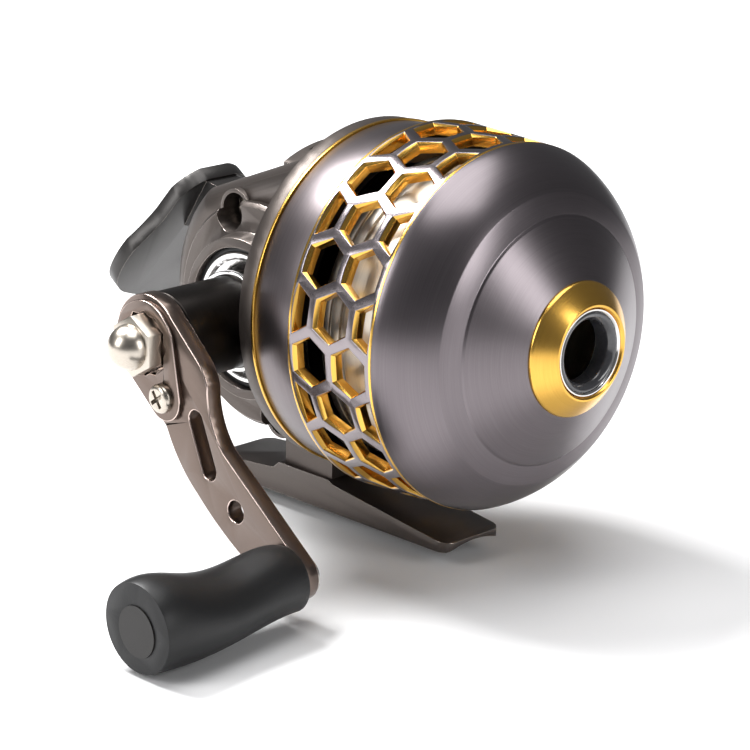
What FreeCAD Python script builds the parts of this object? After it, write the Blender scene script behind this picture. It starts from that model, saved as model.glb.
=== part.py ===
import FreeCAD, Part
import math
import os
import re
import Sketcher

# Closed-face fishing reel. Millimetres, +X out of the nose, +Z up, crank on the -Y side.
# The origin is the centre of the foot's flat underside.

doc = FreeCAD.newDocument("SpincastReel")
sheet = doc.addObject("Spreadsheet::Sheet", "Sizes")

SIZES = [
    # main axis and the large turned pieces, from the flange forward
    ("axis_height", 40.0, "main axis above the foot"),
    ("flange_rear", 4.0, "flange rear face, from the origin"),
    ("flange_thickness", 3.1, "cast flange"),
    ("flange_radius", 30.1, "cast flange"),
    ("flange_web", 2.1, "flange left in front of the gear chamber"),
    ("spigot_length", 2.4, "spigot that carries trim ring and band"),
    ("spigot_wall", 1.6, "spigot wall"),
    ("trim_thickness", 0.6, "thin ring between flange and band"),
    ("trim_radius", 30.3, "thin ring"),
    ("band_length", 10.1, "brushed band"),
    ("band_rear_radius", 29.9, "brushed band at the trim ring"),
    ("band_front_radius", 30.6, "brushed band at its groove"),
    ("band_wall", 1.7, "band wall"),
    ("groove_width", 1.0, "shadow groove behind the cage"),
    ("groove_depth", 0.6, "shadow groove behind the cage"),
    ("cage_length", 18.5, "honeycomb ring"),
    ("cage_rear_radius", 31.8, "honeycomb ring"),
    ("cage_wall", 2.0, "honeycomb ring wall"),
    ("cage_rim", 1.05, "plain rim each side of the openings"),
    ("cage_columns", 12.0, "pairs of openings round the ring"),
    ("cage_pitch", 8.7, "openings of a column, along the axis"),
    ("hex_width", 6.6, "opening across its flats"),
    ("hex_chamfer", 0.5, "chamfer round each opening"),
    ("column_start", 124.5, "angle of the first pair column"),
    ("joint_lip", 1.0, "overlap of band and cover inside the cage"),
    ("cover_radius", 31.0, "front cover at the cage"),
    ("crown_radius", 22.0, "rounding of the cover's side"),
    ("shoulder_length", 8.75, "cover, cage to shoulder"),
    ("shoulder_radius", 24.5, "cover shoulder"),
    ("step_length", 1.35, "cover, shoulder to step"),
    ("step_radius", 21.1, "cover step"),
    ("cone_length", 5.5, "cover, step to nose"),
    ("cover_wall", 1.6, "cover wall"),
    ("nose_length", 3.4, "nose ring in front of the cover"),
    ("nose_base_radius", 11.3, "nose ring"),
    ("nose_lip_radius", 7.6, "nose ring"),
    ("nose_shank_radius", 9.0, "nose ring shank in the cover"),
    ("insert_radius", 7.2, "polished insert"),
    ("guide_radius", 6.7, "ceramic guide, outside"),
    ("guide_bore", 5.25, "ceramic guide, hole radius"),
    ("guide_length", 4.4, "ceramic guide"),
    ("guide_round", 0.8, "lead-in of the guide's hole"),
    # cast case behind the flange
    ("crank_setback", 5.0, "crank axis behind the origin"),
    ("crank_drop", 3.1, "crank axis under the main axis"),
    ("case_radius", 25.2, "case round the crank axis"),
    ("case_half", 16.5, "case half width"),
    ("case_split", 13.0, "where the far cover starts"),
    ("case_round", 4.5, "rounding of the case's side edges"),
    ("case_wall", 3.2, "case wall"),
    ("ridge_distance", 23.5, "ridge from the crank axis"),
    ("ridge_slope", 21.5, "ridge, degrees"),
    ("belly_distance", 19.0, "belly from the crank axis"),
    ("belly_slope", 19.6, "belly, degrees"),
    ("stem_length", 12.0, "stem along the reel"),
    ("stem_width", 12.0, "stem across"),
    ("stem_rear", 11.0, "stem's rear face behind the origin"),
    ("foot_length", 60.0, "reel foot"),
    ("foot_width", 13.7, "reel foot"),
    ("foot_block", 5.8, "foot under the stem"),
    ("foot_tip", 1.7, "foot at its front tip"),
    ("foot_tail", 3.0, "foot at its rear end"),
    ("foot_arch", 1.1, "hollow under each tongue"),
    ("foot_pad", 15.0, "half length of the flat pad"),
    ("foot_screw_gap", 6.0, "between the two foot screws"),
    ("side_plate_radius", 19.5, "round side plate"),
    ("side_plate_step", 2.0, "side plate thickness"),
    ("boss_radius", 14.0, "crank boss"),
    ("boss_length", 3.5, "crank boss beyond the side plate"),
    ("boss_bore", 12.4, "recess in the boss"),
    ("boss_depth", 2.2, "recess in the boss"),
    ("guard_radius", 25.0, "dial guard round the main axis"),
    ("guard_half", 11.0, "dial guard half width"),
    ("guard_length", 10.0, "dial guard along the reel"),
    # crank
    ("shaft_radius", 3.0, "crankshaft"),
    ("running_gap", 0.05, "radial clearance of turning pieces"),
    ("bush_radius", 5.0, "crank bushing, outside"),
    ("bearing_radius", 7.0, "crank bearing, outside"),
    ("bearing_width", 3.5, "crank bearing"),
    ("collar_radius", 11.5, "polished collar"),
    ("collar_height", 1.5, "polished collar"),
    ("sleeve_radius", 7.9, "crank sleeve"),
    ("sleeve_gap", 0.3, "between sleeve and collar"),
    ("base_ring_radius", 8.7, "ring at the sleeve's foot"),
    ("arm_reach", 42.2, "arm's outer face from the centre plane"),
    ("arm_thickness", 3.0, "crank arm"),
    ("arm_boss", 8.2, "crank arm round the shaft"),
    ("arm_end", 4.2, "crank arm round the knob spindle"),
    ("knob_forward", 34.7, "knob axis ahead of the crank axis"),
    ("knob_drop", 32.0, "knob axis under the crank axis"),
    ("retainer_thickness", 0.8, "retainer plate"),
    ("retainer_radius", 7.3, "retainer plate round the nut"),
    ("retainer_tail", 4.0, "retainer plate round its screw"),
    ("nut_flats", 9.2, "acorn nut across flats"),
    ("nut_height", 3.6, "acorn nut's hexagon"),
    ("nut_total", 7.6, "acorn nut with its dome"),
    ("spindle_radius", 2.0, "knob spindle"),
    ("knob_length", 30.8, "rubber knob"),
    ("knob_gap", 0.6, "between arm and knob"),
    ("knob_cap_radius", 4.2, "knob cap"),
    # gears
    ("pinion_radius", 2.3, "pinion pitch radius"),
    ("pinion_teeth", 10.0, "pinion"),
    ("gear_teeth", 32.0, "drive gear"),
    ("tooth_rise", 0.45, "tooth above the pitch line"),
    ("tooth_clearance", 0.15, "root clearance"),
    ("gear_face", 2.9, "face width of the gears"),
    ("gear_thickness", 2.6, "drive gear web"),
    ("centre_shaft_radius", 1.2, "centre shaft"),
    # spool and spinner head
    ("hub_radius", 10.0, "spool hub"),
    ("hub_length", 17.5, "spool hub in front of the flange"),
    ("spool_rear", 4.9, "spool behind face, from the flange"),
    ("spool_length", 11.2, "spool"),
    ("flange_gap", 2.4, "between spool flange and spinner head"),
    ("spool_flange", 1.2, "spool flange thickness"),
    ("arbor_radius", 12.5, "spool arbor"),
    ("washer_radius", 19.0, "drag washer"),
    ("head_gap", 3.0, "between spinner head and honeycomb ring"),
    ("head_rear", 19.5, "spinner head's open rim"),
    ("head_length", 19.4, "spinner head"),
    ("head_wall", 1.2, "spinner head wall"),
    ("pin_radius", 0.9, "pickup pin"),
    ("pin_stand", 2.0, "pickup pin beyond the head"),
    # drag dial
    ("dial_radius", 9.5, "drag dial"),
    ("dial_thickness", 3.0, "drag dial"),
    ("dial_rise", 16.6, "drag dial axis above the main axis"),
    ("dial_front", 1.2, "drag dial's front face behind the origin"),
    ("dial_notches", 36.0, "knurls"),
    ("drag_screw_radius", 1.6, "drag screw"),
    # thumb lever
    ("pivot_setback", 24.0, "lever pin behind the origin"),
    ("pivot_rise", 8.0, "lever pin above the main axis"),
    ("pivot_radius", 1.5, "lever pin"),
    ("paddle_tilt", 55.9, "paddle, degrees from level"),
    ("paddle_distance", 11.6, "paddle's inner face from the pin"),
    ("paddle_thickness", 2.8, "thumb paddle"),
    ("lever_width", 7.0, "lever's neck"),
    ("nose_drop", 8.0, "lever's nose under the pin"),
    ("nose_forward", 3.0, "lever's nose ahead of the pin"),
    ("nose_radius", 1.3, "lever's nose"),
    ("contact_gap", 0.3, "free play before the thrust cap"),
]

NAMES = set()
for row, (alias, amount, note) in enumerate(SIZES, start=1):
    sheet.set(f"A{row}", note)
    sheet.set(f"B{row}", str(amount))
    sheet.setAlias(f"B{row}", alias)
    NAMES.add(alias)
doc.recompute()

PIECES = []

# sizes that follow from others
DERIVED = {
    "crank_height": "(axis_height - crank_drop)",
    "dial_height": "(axis_height + dial_rise)",
    "pivot_height": "(axis_height + pivot_rise)",
    "head_radius": "(cover_radius - cage_wall - head_gap)",
    "spool_flange_radius": "(cover_radius - cage_wall - head_gap - head_wall - flange_gap)",
}


def bound(formula):
    """A formula in size names, written for the expression engine."""
    whole = re.sub(r"[a-z_]+", lambda word: DERIVED.get(word[0], word[0]), formula)
    return re.sub(r"[a-z_]+", lambda word: f"Sizes.{word[0]}" if word[0] in NAMES else word[0], whole)


def number(formula):
    """The present value of a formula in size names."""
    return float(sheet.evalExpression(bound(formula)))


def bind(thing, prop, formula):
    thing.setExpression(prop, bound(formula))


# ---------------------------------------------------------------- drawing helpers


def draw(sketch, outline):
    """A closed outline of corners (x, y), or (x, y, radius, turn) where an arc leads to the next."""
    places = [FreeCAD.Vector(number(c[0]), number(c[1]), 0) for c in outline]
    ends = []
    for index, corner in enumerate(outline):
        here = places[index]
        there = places[(index + 1) % len(places)]
        if len(corner) == 2:
            side = sketch.addGeometry(Part.LineSegment(here, there), False)
            ends.append((side, 1, 2))
        else:
            radius = number(corner[2])
            turn = corner[3]
            chord = there - here
            across = FreeCAD.Vector(-chord.y, chord.x, 0).normalize()
            rise = math.sqrt(radius ** 2 - (chord.Length / 2) ** 2)
            centre = here + chord * 0.5 + across * rise * turn
            first, last = (here, there) if turn > 0 else (there, here)
            start = math.atan2(first.y - centre.y, first.x - centre.x)
            stop = math.atan2(last.y - centre.y, last.x - centre.x)
            circle = Part.Circle(centre, FreeCAD.Vector(0, 0, 1), radius)
            side = sketch.addGeometry(Part.ArcOfCircle(circle, start, stop), False)
            ends.append((side, 1, 2) if turn > 0 else (side, 2, 1))
            held = sketch.addConstraint(Sketcher.Constraint("Radius", side, radius))
            bind(sketch, f"Constraints[{held}]", corner[2])
    for index, (side, begin, finish) in enumerate(ends):
        following = ends[(index + 1) % len(ends)]
        sketch.addConstraint(Sketcher.Constraint("Coincident", side, finish, following[0], following[1]))
    for (side, begin, finish), corner, place in zip(ends, outline, places):
        sides = (("DistanceX", corner[0], place.x, -2), ("DistanceY", corner[1], place.y, -1))
        for kind, formula, amount, axis in sides:
            if formula == "0":
                sketch.addConstraint(Sketcher.Constraint("PointOnObject", side, begin, axis))
            else:
                held = sketch.addConstraint(Sketcher.Constraint(kind, -1, 1, side, begin, amount))
                bind(sketch, f"Constraints[{held}]", formula)


def draw_circle(sketch, x, y, radius):
    circle = Part.Circle(FreeCAD.Vector(number(x), number(y), 0), FreeCAD.Vector(0, 0, 1), number(radius))
    side = sketch.addGeometry(circle, False)
    for kind, formula, axis in (("DistanceX", x, -2), ("DistanceY", y, -1)):
        if formula == "0":
            sketch.addConstraint(Sketcher.Constraint("PointOnObject", side, 3, axis))
        else:
            held = sketch.addConstraint(Sketcher.Constraint(kind, -1, 1, side, 3, number(formula)))
            bind(sketch, f"Constraints[{held}]", formula)
    held = sketch.addConstraint(Sketcher.Constraint("Radius", side, number(radius)))
    bind(sketch, f"Constraints[{held}]", radius)


def new_sketch(body, role, name, offset="0"):
    sketch = body.newObject("Sketcher::SketchObject", name)
    plane = next(f for f in body.Origin.OriginFeatures if f.Role == role)
    sketch.AttachmentSupport = [(plane, "")]
    sketch.MapMode = "FlatFace"
    if offset != "0":
        bind(sketch, "AttachmentOffset.Base.z", offset)
    return sketch


def new_body(label):
    body = doc.addObject("PartDesign::Body", label)
    body.Label = label
    PIECES.append(body)
    return body


def turn_up(body, outline, cut=False):
    """Revolves an outline of (place along X, radius) about the body's X axis."""
    sketch = new_sketch(body, "XZ_Plane", "Section")
    draw(sketch, outline)
    kind = "Groove" if cut else "Revolution"
    feature = body.newObject(f"PartDesign::{kind}", "Turned")
    feature.Profile = sketch
    feature.ReferenceAxis = (sketch, ["H_Axis"])
    feature.Angle = 360.0
    doc.recompute()
    return feature


def grow(body, role, shapes, low, high, cut=False):
    """Pads, or cuts, closed shapes from low to high along the plane's normal."""
    before = body.Shape.Volume if cut else 0
    sketch = new_sketch(body, role, "Outline", low)
    for shape in shapes:
        if shape[0] == "circle":
            draw_circle(sketch, *shape[1:])
        else:
            draw(sketch, shape)
    feature = body.newObject("PartDesign::Pocket" if cut else "PartDesign::Pad", "Cut" if cut else "Raised")
    feature.Profile = sketch
    bind(feature, "Length", f"({high}) - ({low})")
    feature.Reversed = cut
    doc.recompute()
    if cut and not body.Shape.Volume < before - 1e-6:
        raise RuntimeError(f"a cut in {body.Label} takes nothing away")
    return feature


def soften(body, radius, chosen, kind="Fillet"):
    """Rounds or chamfers the edges of the last feature that the test chooses."""
    tip = body.Tip
    names = [f"Edge{i}" for i, edge in enumerate(tip.Shape.Edges, start=1) if chosen(edge)]
    if not names:
        raise RuntimeError(f"no edge to soften on {body.Label}")
    feature = body.newObject(f"PartDesign::{kind}", "Softened")
    feature.Base = (tip, names)
    bind(feature, "Radius" if kind == "Fillet" else "Size", radius)
    doc.recompute()


def on_main_axis(body):
    bind(body, "Placement.Base.z", "axis_height")


def on_crank_axis(body):
    """Lays a body's X axis along the crank axis, outward on the crank's side."""
    body.Placement = FreeCAD.Placement(FreeCAD.Vector(), FreeCAD.Rotation(-90, 0, 0))
    bind(body, "Placement.Base.x", "-crank_setback")
    bind(body, "Placement.Base.z", "crank_height")


def tube(label, start, stop, inner, outer, place):
    """A plain ring between two places on an axis."""
    body = new_body(label)
    turn_up(body, [(start, inner), (stop, inner), (stop, outer), (start, outer)])
    place(body)
    return body


def solid_piece(label, shape):
    """A piece whose shape comes from Part's own functions."""
    piece = doc.addObject("Part::Feature", label)
    piece.Label = label
    piece.Shape = shape
    PIECES.append(piece)
    return piece


def rod(start, along, radius):
    """A cylinder that starts at a point and runs along a vector."""
    return Part.makeCylinder(radius, along.Length, start, along)


def screw_shape(head_radius, head_height, shank_radius, shank_length, cross_width):
    """A pan-head screw under its head at the origin, head towards +Z, with a cross recess."""
    up = FreeCAD.Vector(0, 0, 1)
    head = Part.makeCylinder(head_radius, head_height)
    crown = [edge for edge in head.Edges if edge.BoundBox.ZMin > head_height / 2]
    head = head.makeFillet(head_height * 0.6, crown[:1])
    screw = head.fuse(Part.makeCylinder(shank_radius, shank_length, FreeCAD.Vector(), up * -1))
    for angle in (0, 90):
        arm = Part.makeBox(head_radius * 1.3, cross_width, head_height)
        arm.translate(FreeCAD.Vector(-head_radius * 0.65, -cross_width / 2, head_height * 0.45))
        arm.rotate(FreeCAD.Vector(), up, angle)
        screw = screw.cut(arm)
    return screw.removeSplitter()


# ---------------------------------------------------------------- stations along the main axis

FLANGE_FRONT = "(flange_rear + flange_thickness)"
TRIM_FRONT = f"({FLANGE_FRONT} + trim_thickness)"
BAND_FRONT = f"({TRIM_FRONT} + band_length)"
CAGE_FRONT = f"({BAND_FRONT} + cage_length)"
SHOULDER = f"({CAGE_FRONT} + shoulder_length)"
STEP = f"({SHOULDER} + step_length)"
NOSE_BASE = f"({STEP} + cone_length)"
NOSE_LIP = f"({NOSE_BASE} + nose_length)"
SPIGOT_RADIUS = "(band_rear_radius - band_wall)"
CAGE_INNER_REAR = "(cage_rear_radius - cage_wall)"
CAGE_INNER_FRONT = "(cover_radius - cage_wall)"

# ---------------------------------------------------------------- cast case with flange and stem

RIDGE_SIN = "sin(ridge_slope)"
RIDGE_COS = "cos(ridge_slope)"
BELLY_SIN = "sin(belly_slope)"
BELLY_COS = "cos(belly_slope)"


def case_outline(inset):
    """The case seen from the side: ridge, round back and belly, drawn in by an inset."""
    radius = f"(case_radius - {inset})"
    ridge = f"(ridge_distance - {inset})"
    belly = f"(belly_distance - {inset})"
    reach_up = f"sqrt({radius}^2 - {ridge}^2)"
    reach_down = f"sqrt({radius}^2 - {belly}^2)"
    front = f"(flange_rear + {inset} * 0.3)"
    top_x = f"-crank_setback - {ridge} * {RIDGE_SIN} - {reach_up} * {RIDGE_COS}"
    top_z = f"crank_height + {ridge} * {RIDGE_COS} - {reach_up} * {RIDGE_SIN}"
    low_x = f"-crank_setback - {belly} * {BELLY_SIN} - {reach_down} * {BELLY_COS}"
    low_z = f"crank_height - {belly} * {BELLY_COS} + {reach_down} * {BELLY_SIN}"
    front_top = f"crank_height + {ridge} / {RIDGE_COS} + ({front} + crank_setback) * tan(ridge_slope)"
    front_low = f"crank_height - {belly} / {BELLY_COS} - ({front} + crank_setback) * tan(belly_slope)"
    return [(front, front_top), (top_x, top_z, radius, 1), (low_x, low_z), (front, front_low)]


def side_edges(side):
    """Chooses the edges that lie flat on one side of the case."""
    return lambda edge: abs(edge.BoundBox.YMin - side) < 0.01 and abs(edge.BoundBox.YMax - side) < 0.01


DIAL_REAR = "(-dial_front - dial_thickness)"
GUARD_REAR = "(flange_rear - guard_length)"
SIDE_SCREW_RADIUS = 18.0
SIDE_SCREW_ANGLES = (111.5, 285.0, 200.0)
SIDE_POCKET = 3.3
SIDE_CUP = 3.9
CUP_BOTTOM = "(case_half - case_wall - 0.7)"
CUP_FLOOR = 0.7
CUP_RIM = 0.5
PAD_RADIUS = 4.9
PAD_BOTTOM = "(case_half - case_wall - 2.3)"
M2_RADIUS = 1.0
SEAT_INSET = 4.0
COVER_SCREW_ANGLES = (85.0, 135.0, 190.0, 275.0)
COVER_SCREW_REACH = (
    f"(ridge_distance - {SEAT_INSET}) / cos(90 + ridge_slope - {COVER_SCREW_ANGLES[0]})",
    f"(case_radius - {SEAT_INSET})",
    f"(case_radius - {SEAT_INSET})",
    f"(belly_distance - {SEAT_INSET}) / cos({COVER_SCREW_ANGLES[3]} - 270 + belly_slope)",
)
LUG_RADIUS = 2.4
LUG_LENGTH = 2.7
COVER_SCREW_SINK = 1.2

housing = new_body("body_housing")
grow(housing, "XZ_Plane", [case_outline("0")], "-case_split", "case_half")
front = number("flange_rear")
soften(housing, "case_round", lambda edge: side_edges(-number("case_half"))(edge) and edge.BoundBox.XMin < front - 1)
grow(housing, "YZ_Plane", [("circle", "0", "axis_height", "flange_radius")], "flange_rear", FLANGE_FRONT)
grow(housing, "YZ_Plane", [("circle", "0", "axis_height", SPIGOT_RADIUS)], FLANGE_FRONT, f"{FLANGE_FRONT} + spigot_length")
stem = [
    ("-stem_rear", "-stem_width / 2"),
    ("stem_length - stem_rear", "-stem_width / 2"),
    ("stem_length - stem_rear", "stem_width / 2"),
    ("-stem_rear", "stem_width / 2"),
]
grow(housing, "XY_Plane", [stem], "foot_block", "crank_height - belly_distance + 4")
guard_side = "axis_height + sqrt(guard_radius^2 - guard_half^2)"
guard = [
    ("guard_half", "dial_height - 3"),
    ("guard_half", guard_side, "guard_radius", 1),
    ("-guard_half", guard_side),
    ("-guard_half", "dial_height - 3"),
]
grow(housing, "YZ_Plane", [guard], GUARD_REAR, "flange_rear")
chamber = case_outline("case_wall")
grow(housing, "XZ_Plane", [chamber], "-case_split", "case_half - case_wall", cut=True)
grow(housing, "YZ_Plane", [("circle", "0", "axis_height", f"{SPIGOT_RADIUS} - spigot_wall")],
     FLANGE_FRONT, f"{FLANGE_FRONT} + spigot_length", cut=True)
slot = [
    ("-pivot_setback + 4", "pivot_height + 7.5"),
    ("-crank_setback - case_radius - 5", "pivot_height + 7.5"),
    ("-crank_setback - case_radius - 5", "pivot_height - 17"),
    ("-pivot_setback + 4", "pivot_height - 17"),
]
grow(housing, "XZ_Plane", [slot], "-lever_width / 2 - 0.8", "lever_width / 2 + 0.8", cut=True)
grow(housing, "YZ_Plane", [("circle", "0", "dial_height", "dial_radius + 0.4")],
     f"{DIAL_REAR} - 0.3", "-dial_front + 0.3", cut=True)
grow(housing, "YZ_Plane", [("circle", "0", "dial_height", "drag_screw_radius + running_gap")],
     f"{GUARD_REAR} + 0.6", f"{FLANGE_FRONT} + 0.1", cut=True)
grow(housing, "YZ_Plane", [("circle", "0", "axis_height", "hub_radius - 2.5")], "flange_rear - 1", f"{FLANGE_FRONT} + 0.1", cut=True)
grow(housing, "XZ_Plane", [("circle", "-crank_setback", "crank_height", "bush_radius")],
     "case_half - case_wall - 0.1", "case_half + 0.1", cut=True)
grow(housing, "XZ_Plane", [("circle", "-pivot_setback", "pivot_height", "pivot_radius")], "-case_split - 0.1", "case_half - 1", cut=True)


def round_the_crank(angle, distance):
    """A place round the crank axis, as formulas of the side view."""
    return f"-crank_setback + {distance} * cos({angle})", f"crank_height + {distance} * sin({angle})"


side_screw_places = [round_the_crank(angle, SIDE_SCREW_RADIUS) for angle in SIDE_SCREW_ANGLES]
cover_screw_places = [round_the_crank(a, reach) for a, reach in zip(COVER_SCREW_ANGLES, COVER_SCREW_REACH)]
grow(housing, "XZ_Plane", [("circle", x, z, str(PAD_RADIUS)) for x, z in side_screw_places],
     PAD_BOTTOM, "case_half - case_wall + 0.1")
grow(housing, "XZ_Plane", [("circle", x, z, str(SIDE_CUP)) for x, z in side_screw_places],
     CUP_BOTTOM, "case_half + 0.1", cut=True)
grow(housing, "XZ_Plane", [("circle", x, z, str(M2_RADIUS)) for x, z in side_screw_places],
     f"{PAD_BOTTOM} - 0.1", "case_half", cut=True)
grow(housing, "XZ_Plane", [("circle", x, z, str(LUG_RADIUS)) for x, z in cover_screw_places],
     "-case_split", f"-case_split + {LUG_LENGTH}")
grow(housing, "XZ_Plane", [("circle", x, z, str(M2_RADIUS)) for x, z in cover_screw_places],
     "-case_split - 0.1", f"-case_split + {LUG_LENGTH} + 0.1", cut=True)
foot_screw_places = [("-stem_rear + stem_length / 2 - foot_screw_gap / 2", "0"),
                     ("-stem_rear + stem_length / 2 + foot_screw_gap / 2", "0")]
grow(housing, "XY_Plane", [("circle", x, y, str(M2_RADIUS)) for x, y in foot_screw_places], "foot_block - 0.1", "foot_block + 6", cut=True)

# far cover: closes the gear chamber, rounded like the near side
far_cover = new_body("far_side_cover")
grow(far_cover, "XZ_Plane", [case_outline("0")], "-case_half", "-case_split")
soften(far_cover, "case_round - 1.1", lambda edge: side_edges(number("case_half"))(edge) and edge.BoundBox.XMin < front - 1)
HOLLOW_INSET = "(case_wall + 4.4)"
grow(far_cover, "XZ_Plane", [case_outline(HOLLOW_INSET)], "-case_split - 1.7", "-case_split + 0.1", cut=True)
for x, z in cover_screw_places:
    grow(far_cover, "XZ_Plane", [("circle", x, z, str(M2_RADIUS))], "-case_half", "-case_split + 0.1", cut=True)
    grow(far_cover, "XZ_Plane", [("circle", x, z, str(LUG_RADIUS))], "-case_half - 0.1",
         f"-case_half + {COVER_SCREW_SINK}", cut=True)

# side plate with the crank boss
plate = new_body("crank_side_plate")
BOSS_FACE = "(case_half + side_plate_step + boss_length)"
turn_up(plate, [
    ("case_half", "bush_radius + 1"),
    (f"{BOSS_FACE} - boss_depth - bearing_width + 1.5", "bush_radius + 1"),
    (f"{BOSS_FACE} - boss_depth - bearing_width + 1.5", "bearing_radius"),
    (f"{BOSS_FACE} - boss_depth", "bearing_radius"),
    (f"{BOSS_FACE} - boss_depth", "boss_bore"),
    (BOSS_FACE, "boss_bore"),
    (BOSS_FACE, "boss_radius"),
    ("case_half + side_plate_step + 0.6", "boss_radius + 0.6"),
    ("case_half + side_plate_step", "boss_radius + 2.2"),
    ("case_half + side_plate_step", "side_plate_radius - 0.6"),
    ("case_half + side_plate_step - 0.6", "side_plate_radius"),
    ("case_half", "side_plate_radius"),
])
on_crank_axis(plate)


def flat_behind_flange(body, low, high):
    """Cuts a crank piece flat where it meets the flange's rear face."""
    beside = [("flange_rear + crank_setback", "-29"), ("29", "-29"), ("29", "29"), ("flange_rear + crank_setback", "29")]
    grow(body, "YZ_Plane", [beside], low, high, cut=True)


flat_behind_flange(plate, "case_half - 0.1", f"{BOSS_FACE} + 0.1")
side_pocket_places = [(f"{SIDE_SCREW_RADIUS} * cos({a})", f"{SIDE_SCREW_RADIUS} * sin({a})") for a in SIDE_SCREW_ANGLES]
grow(plate, "YZ_Plane", [("circle", x, z, str(SIDE_CUP)) for x, z in side_pocket_places],
     CUP_BOTTOM, f"case_half + {CUP_RIM}")
grow(plate, "YZ_Plane", [("circle", x, z, str(SIDE_POCKET)) for x, z in side_pocket_places],
     f"{CUP_BOTTOM} + {CUP_FLOOR}", f"{BOSS_FACE} + 0.1", cut=True)
grow(plate, "YZ_Plane", [("circle", x, z, str(M2_RADIUS)) for x, z in side_pocket_places],
     f"{CUP_BOTTOM} - 0.1", f"{BOSS_FACE} + 0.1", cut=True)

# reel foot: block under the stem, two tongues hollowed underneath to sit on a round rod
foot = new_body("reel_foot")
BLOCK_FRONT = "(stem_length - stem_rear + 1)"
BLOCK_REAR = "(-stem_rear - 1)"
foot_side = [
    ("-foot_length / 2", "0"),
    ("foot_length / 2", "0"),
    ("foot_length / 2", "foot_tip"),
    (BLOCK_FRONT, "foot_block - 0.6"),
    (f"{BLOCK_FRONT} - 1.2", "foot_block"),
    (BLOCK_REAR, "foot_block"),
    (f"{BLOCK_REAR} - 1.5", "foot_block - 1.3"),
    ("-foot_length / 2", "foot_tail"),
]
grow(foot, "XZ_Plane", [foot_side], "-foot_width / 2", "foot_width / 2")
half_foot = number("foot_length / 2")
CORNER_ROUND = 2.2
soften(foot, str(CORNER_ROUND), lambda edge: abs(abs(edge.CenterOfMass.x) - half_foot) < 0.01
       and edge.BoundBox.ZLength > 0.8 and abs(edge.CenterOfMass.y) > number("foot_width / 2") - 0.01)
ARCH_RADIUS = "((foot_width^2 / 4 * 0.8 + foot_arch^2) / (2 * foot_arch))"
hollow = ("circle", "0", f"foot_arch - {ARCH_RADIUS}", ARCH_RADIUS)
grow(foot, "YZ_Plane", [hollow], "foot_pad", "foot_length / 2 + 0.1", cut=True)
grow(foot, "YZ_Plane", [hollow], "-foot_length / 2 - 0.1", "-foot_pad - 3", cut=True)
for x, y in foot_screw_places:
    grow(foot, "XY_Plane", [("circle", x, y, str(M2_RADIUS))], "-0.1", "foot_block + 0.1", cut=True)
    grow(foot, "XY_Plane", [("circle", x, y, "2.2")], "-0.1", "1.8", cut=True)

# ---------------------------------------------------------------- turned pieces from the flange forward

tube("trim_ring", FLANGE_FRONT, TRIM_FRONT, SPIGOT_RADIUS, "trim_radius", on_main_axis)

band = new_body("rear_band")
turn_up(band, [
    (TRIM_FRONT, "band_rear_radius"),
    (f"{BAND_FRONT} - groove_width", "band_front_radius"),
    (f"{BAND_FRONT} - groove_width", "band_front_radius - groove_depth"),
    (BAND_FRONT, "band_front_radius - groove_depth"),
    (BAND_FRONT, f"{CAGE_INNER_REAR} - 0.1"),
    (f"{BAND_FRONT} + joint_lip", f"{CAGE_INNER_REAR} - 0.1"),
    (f"{BAND_FRONT} + joint_lip", SPIGOT_RADIUS),
    (TRIM_FRONT, SPIGOT_RADIUS),
])
on_main_axis(band)


def cage_radius_at(x):
    """Outer radius of the honeycomb ring, which narrows towards the cover."""
    share = (x - number(BAND_FRONT)) / number("cage_length")
    return number("cage_rear_radius") * (1 - share) + number("cover_radius") * share


def clipped(ring, limit, keep):
    """The part of a closed ring of points on one side of a place along X."""
    result = []
    for (ax, ay), (bx, by) in zip(ring, ring[1:] + ring[:1]):
        if keep * (ax - limit) >= 0:
            result.append((ax, ay))
        if (ax - limit) * (bx - limit) < 0:
            share = (limit - ax) / (bx - ax)
            result.append((limit, ay + share * (by - ay)))
    return result


def cage_opening(x, angle):
    """One opening: a hexagonal hole, kept between the rims, with a chamfer where it leaves the ring."""
    low = number(f"{BAND_FRONT} + cage_rim")
    high = number(f"{CAGE_FRONT} - cage_rim")
    half = number("hex_width") / 2
    chamfer = number("hex_chamfer")
    wall = number("cage_wall")
    outer = cage_radius_at(min(max(x, low), high))
    arc_pitch = math.radians(period / 2) * number("cage_rear_radius + cover_radius") / 2
    stretch = arc_pitch / (number("cage_pitch") * math.sqrt(3) / 2)
    corner = 2 * half / math.sqrt(3) * stretch
    ring = [(x - half, -corner / 2), (x, -corner), (x + half, -corner / 2),
            (x + half, corner / 2), (x, corner), (x - half, corner / 2)]
    ring = clipped(clipped(ring, low, 1), high, -1)
    points = [FreeCAD.Vector(px, py, 0) for px, py in ring]
    outline = Part.makePolygon(points + points[:1])
    hole = Part.Face(outline).extrude(FreeCAD.Vector(0, 0, wall + 3))
    hole.translate(FreeCAD.Vector(0, 0, outer - wall - 1.5))
    wide = outline.makeOffset2D(1.5 * chamfer, 2)
    wide.translate(FreeCAD.Vector(0, 0, outer + chamfer / 2))
    outline.translate(FreeCAD.Vector(0, 0, outer - chamfer))
    opening = hole.fuse(Part.makeLoft([outline, wide], True))
    opening.rotate(FreeCAD.Vector(), FreeCAD.Vector(1, 0, 0), angle - 90)
    return opening


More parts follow.
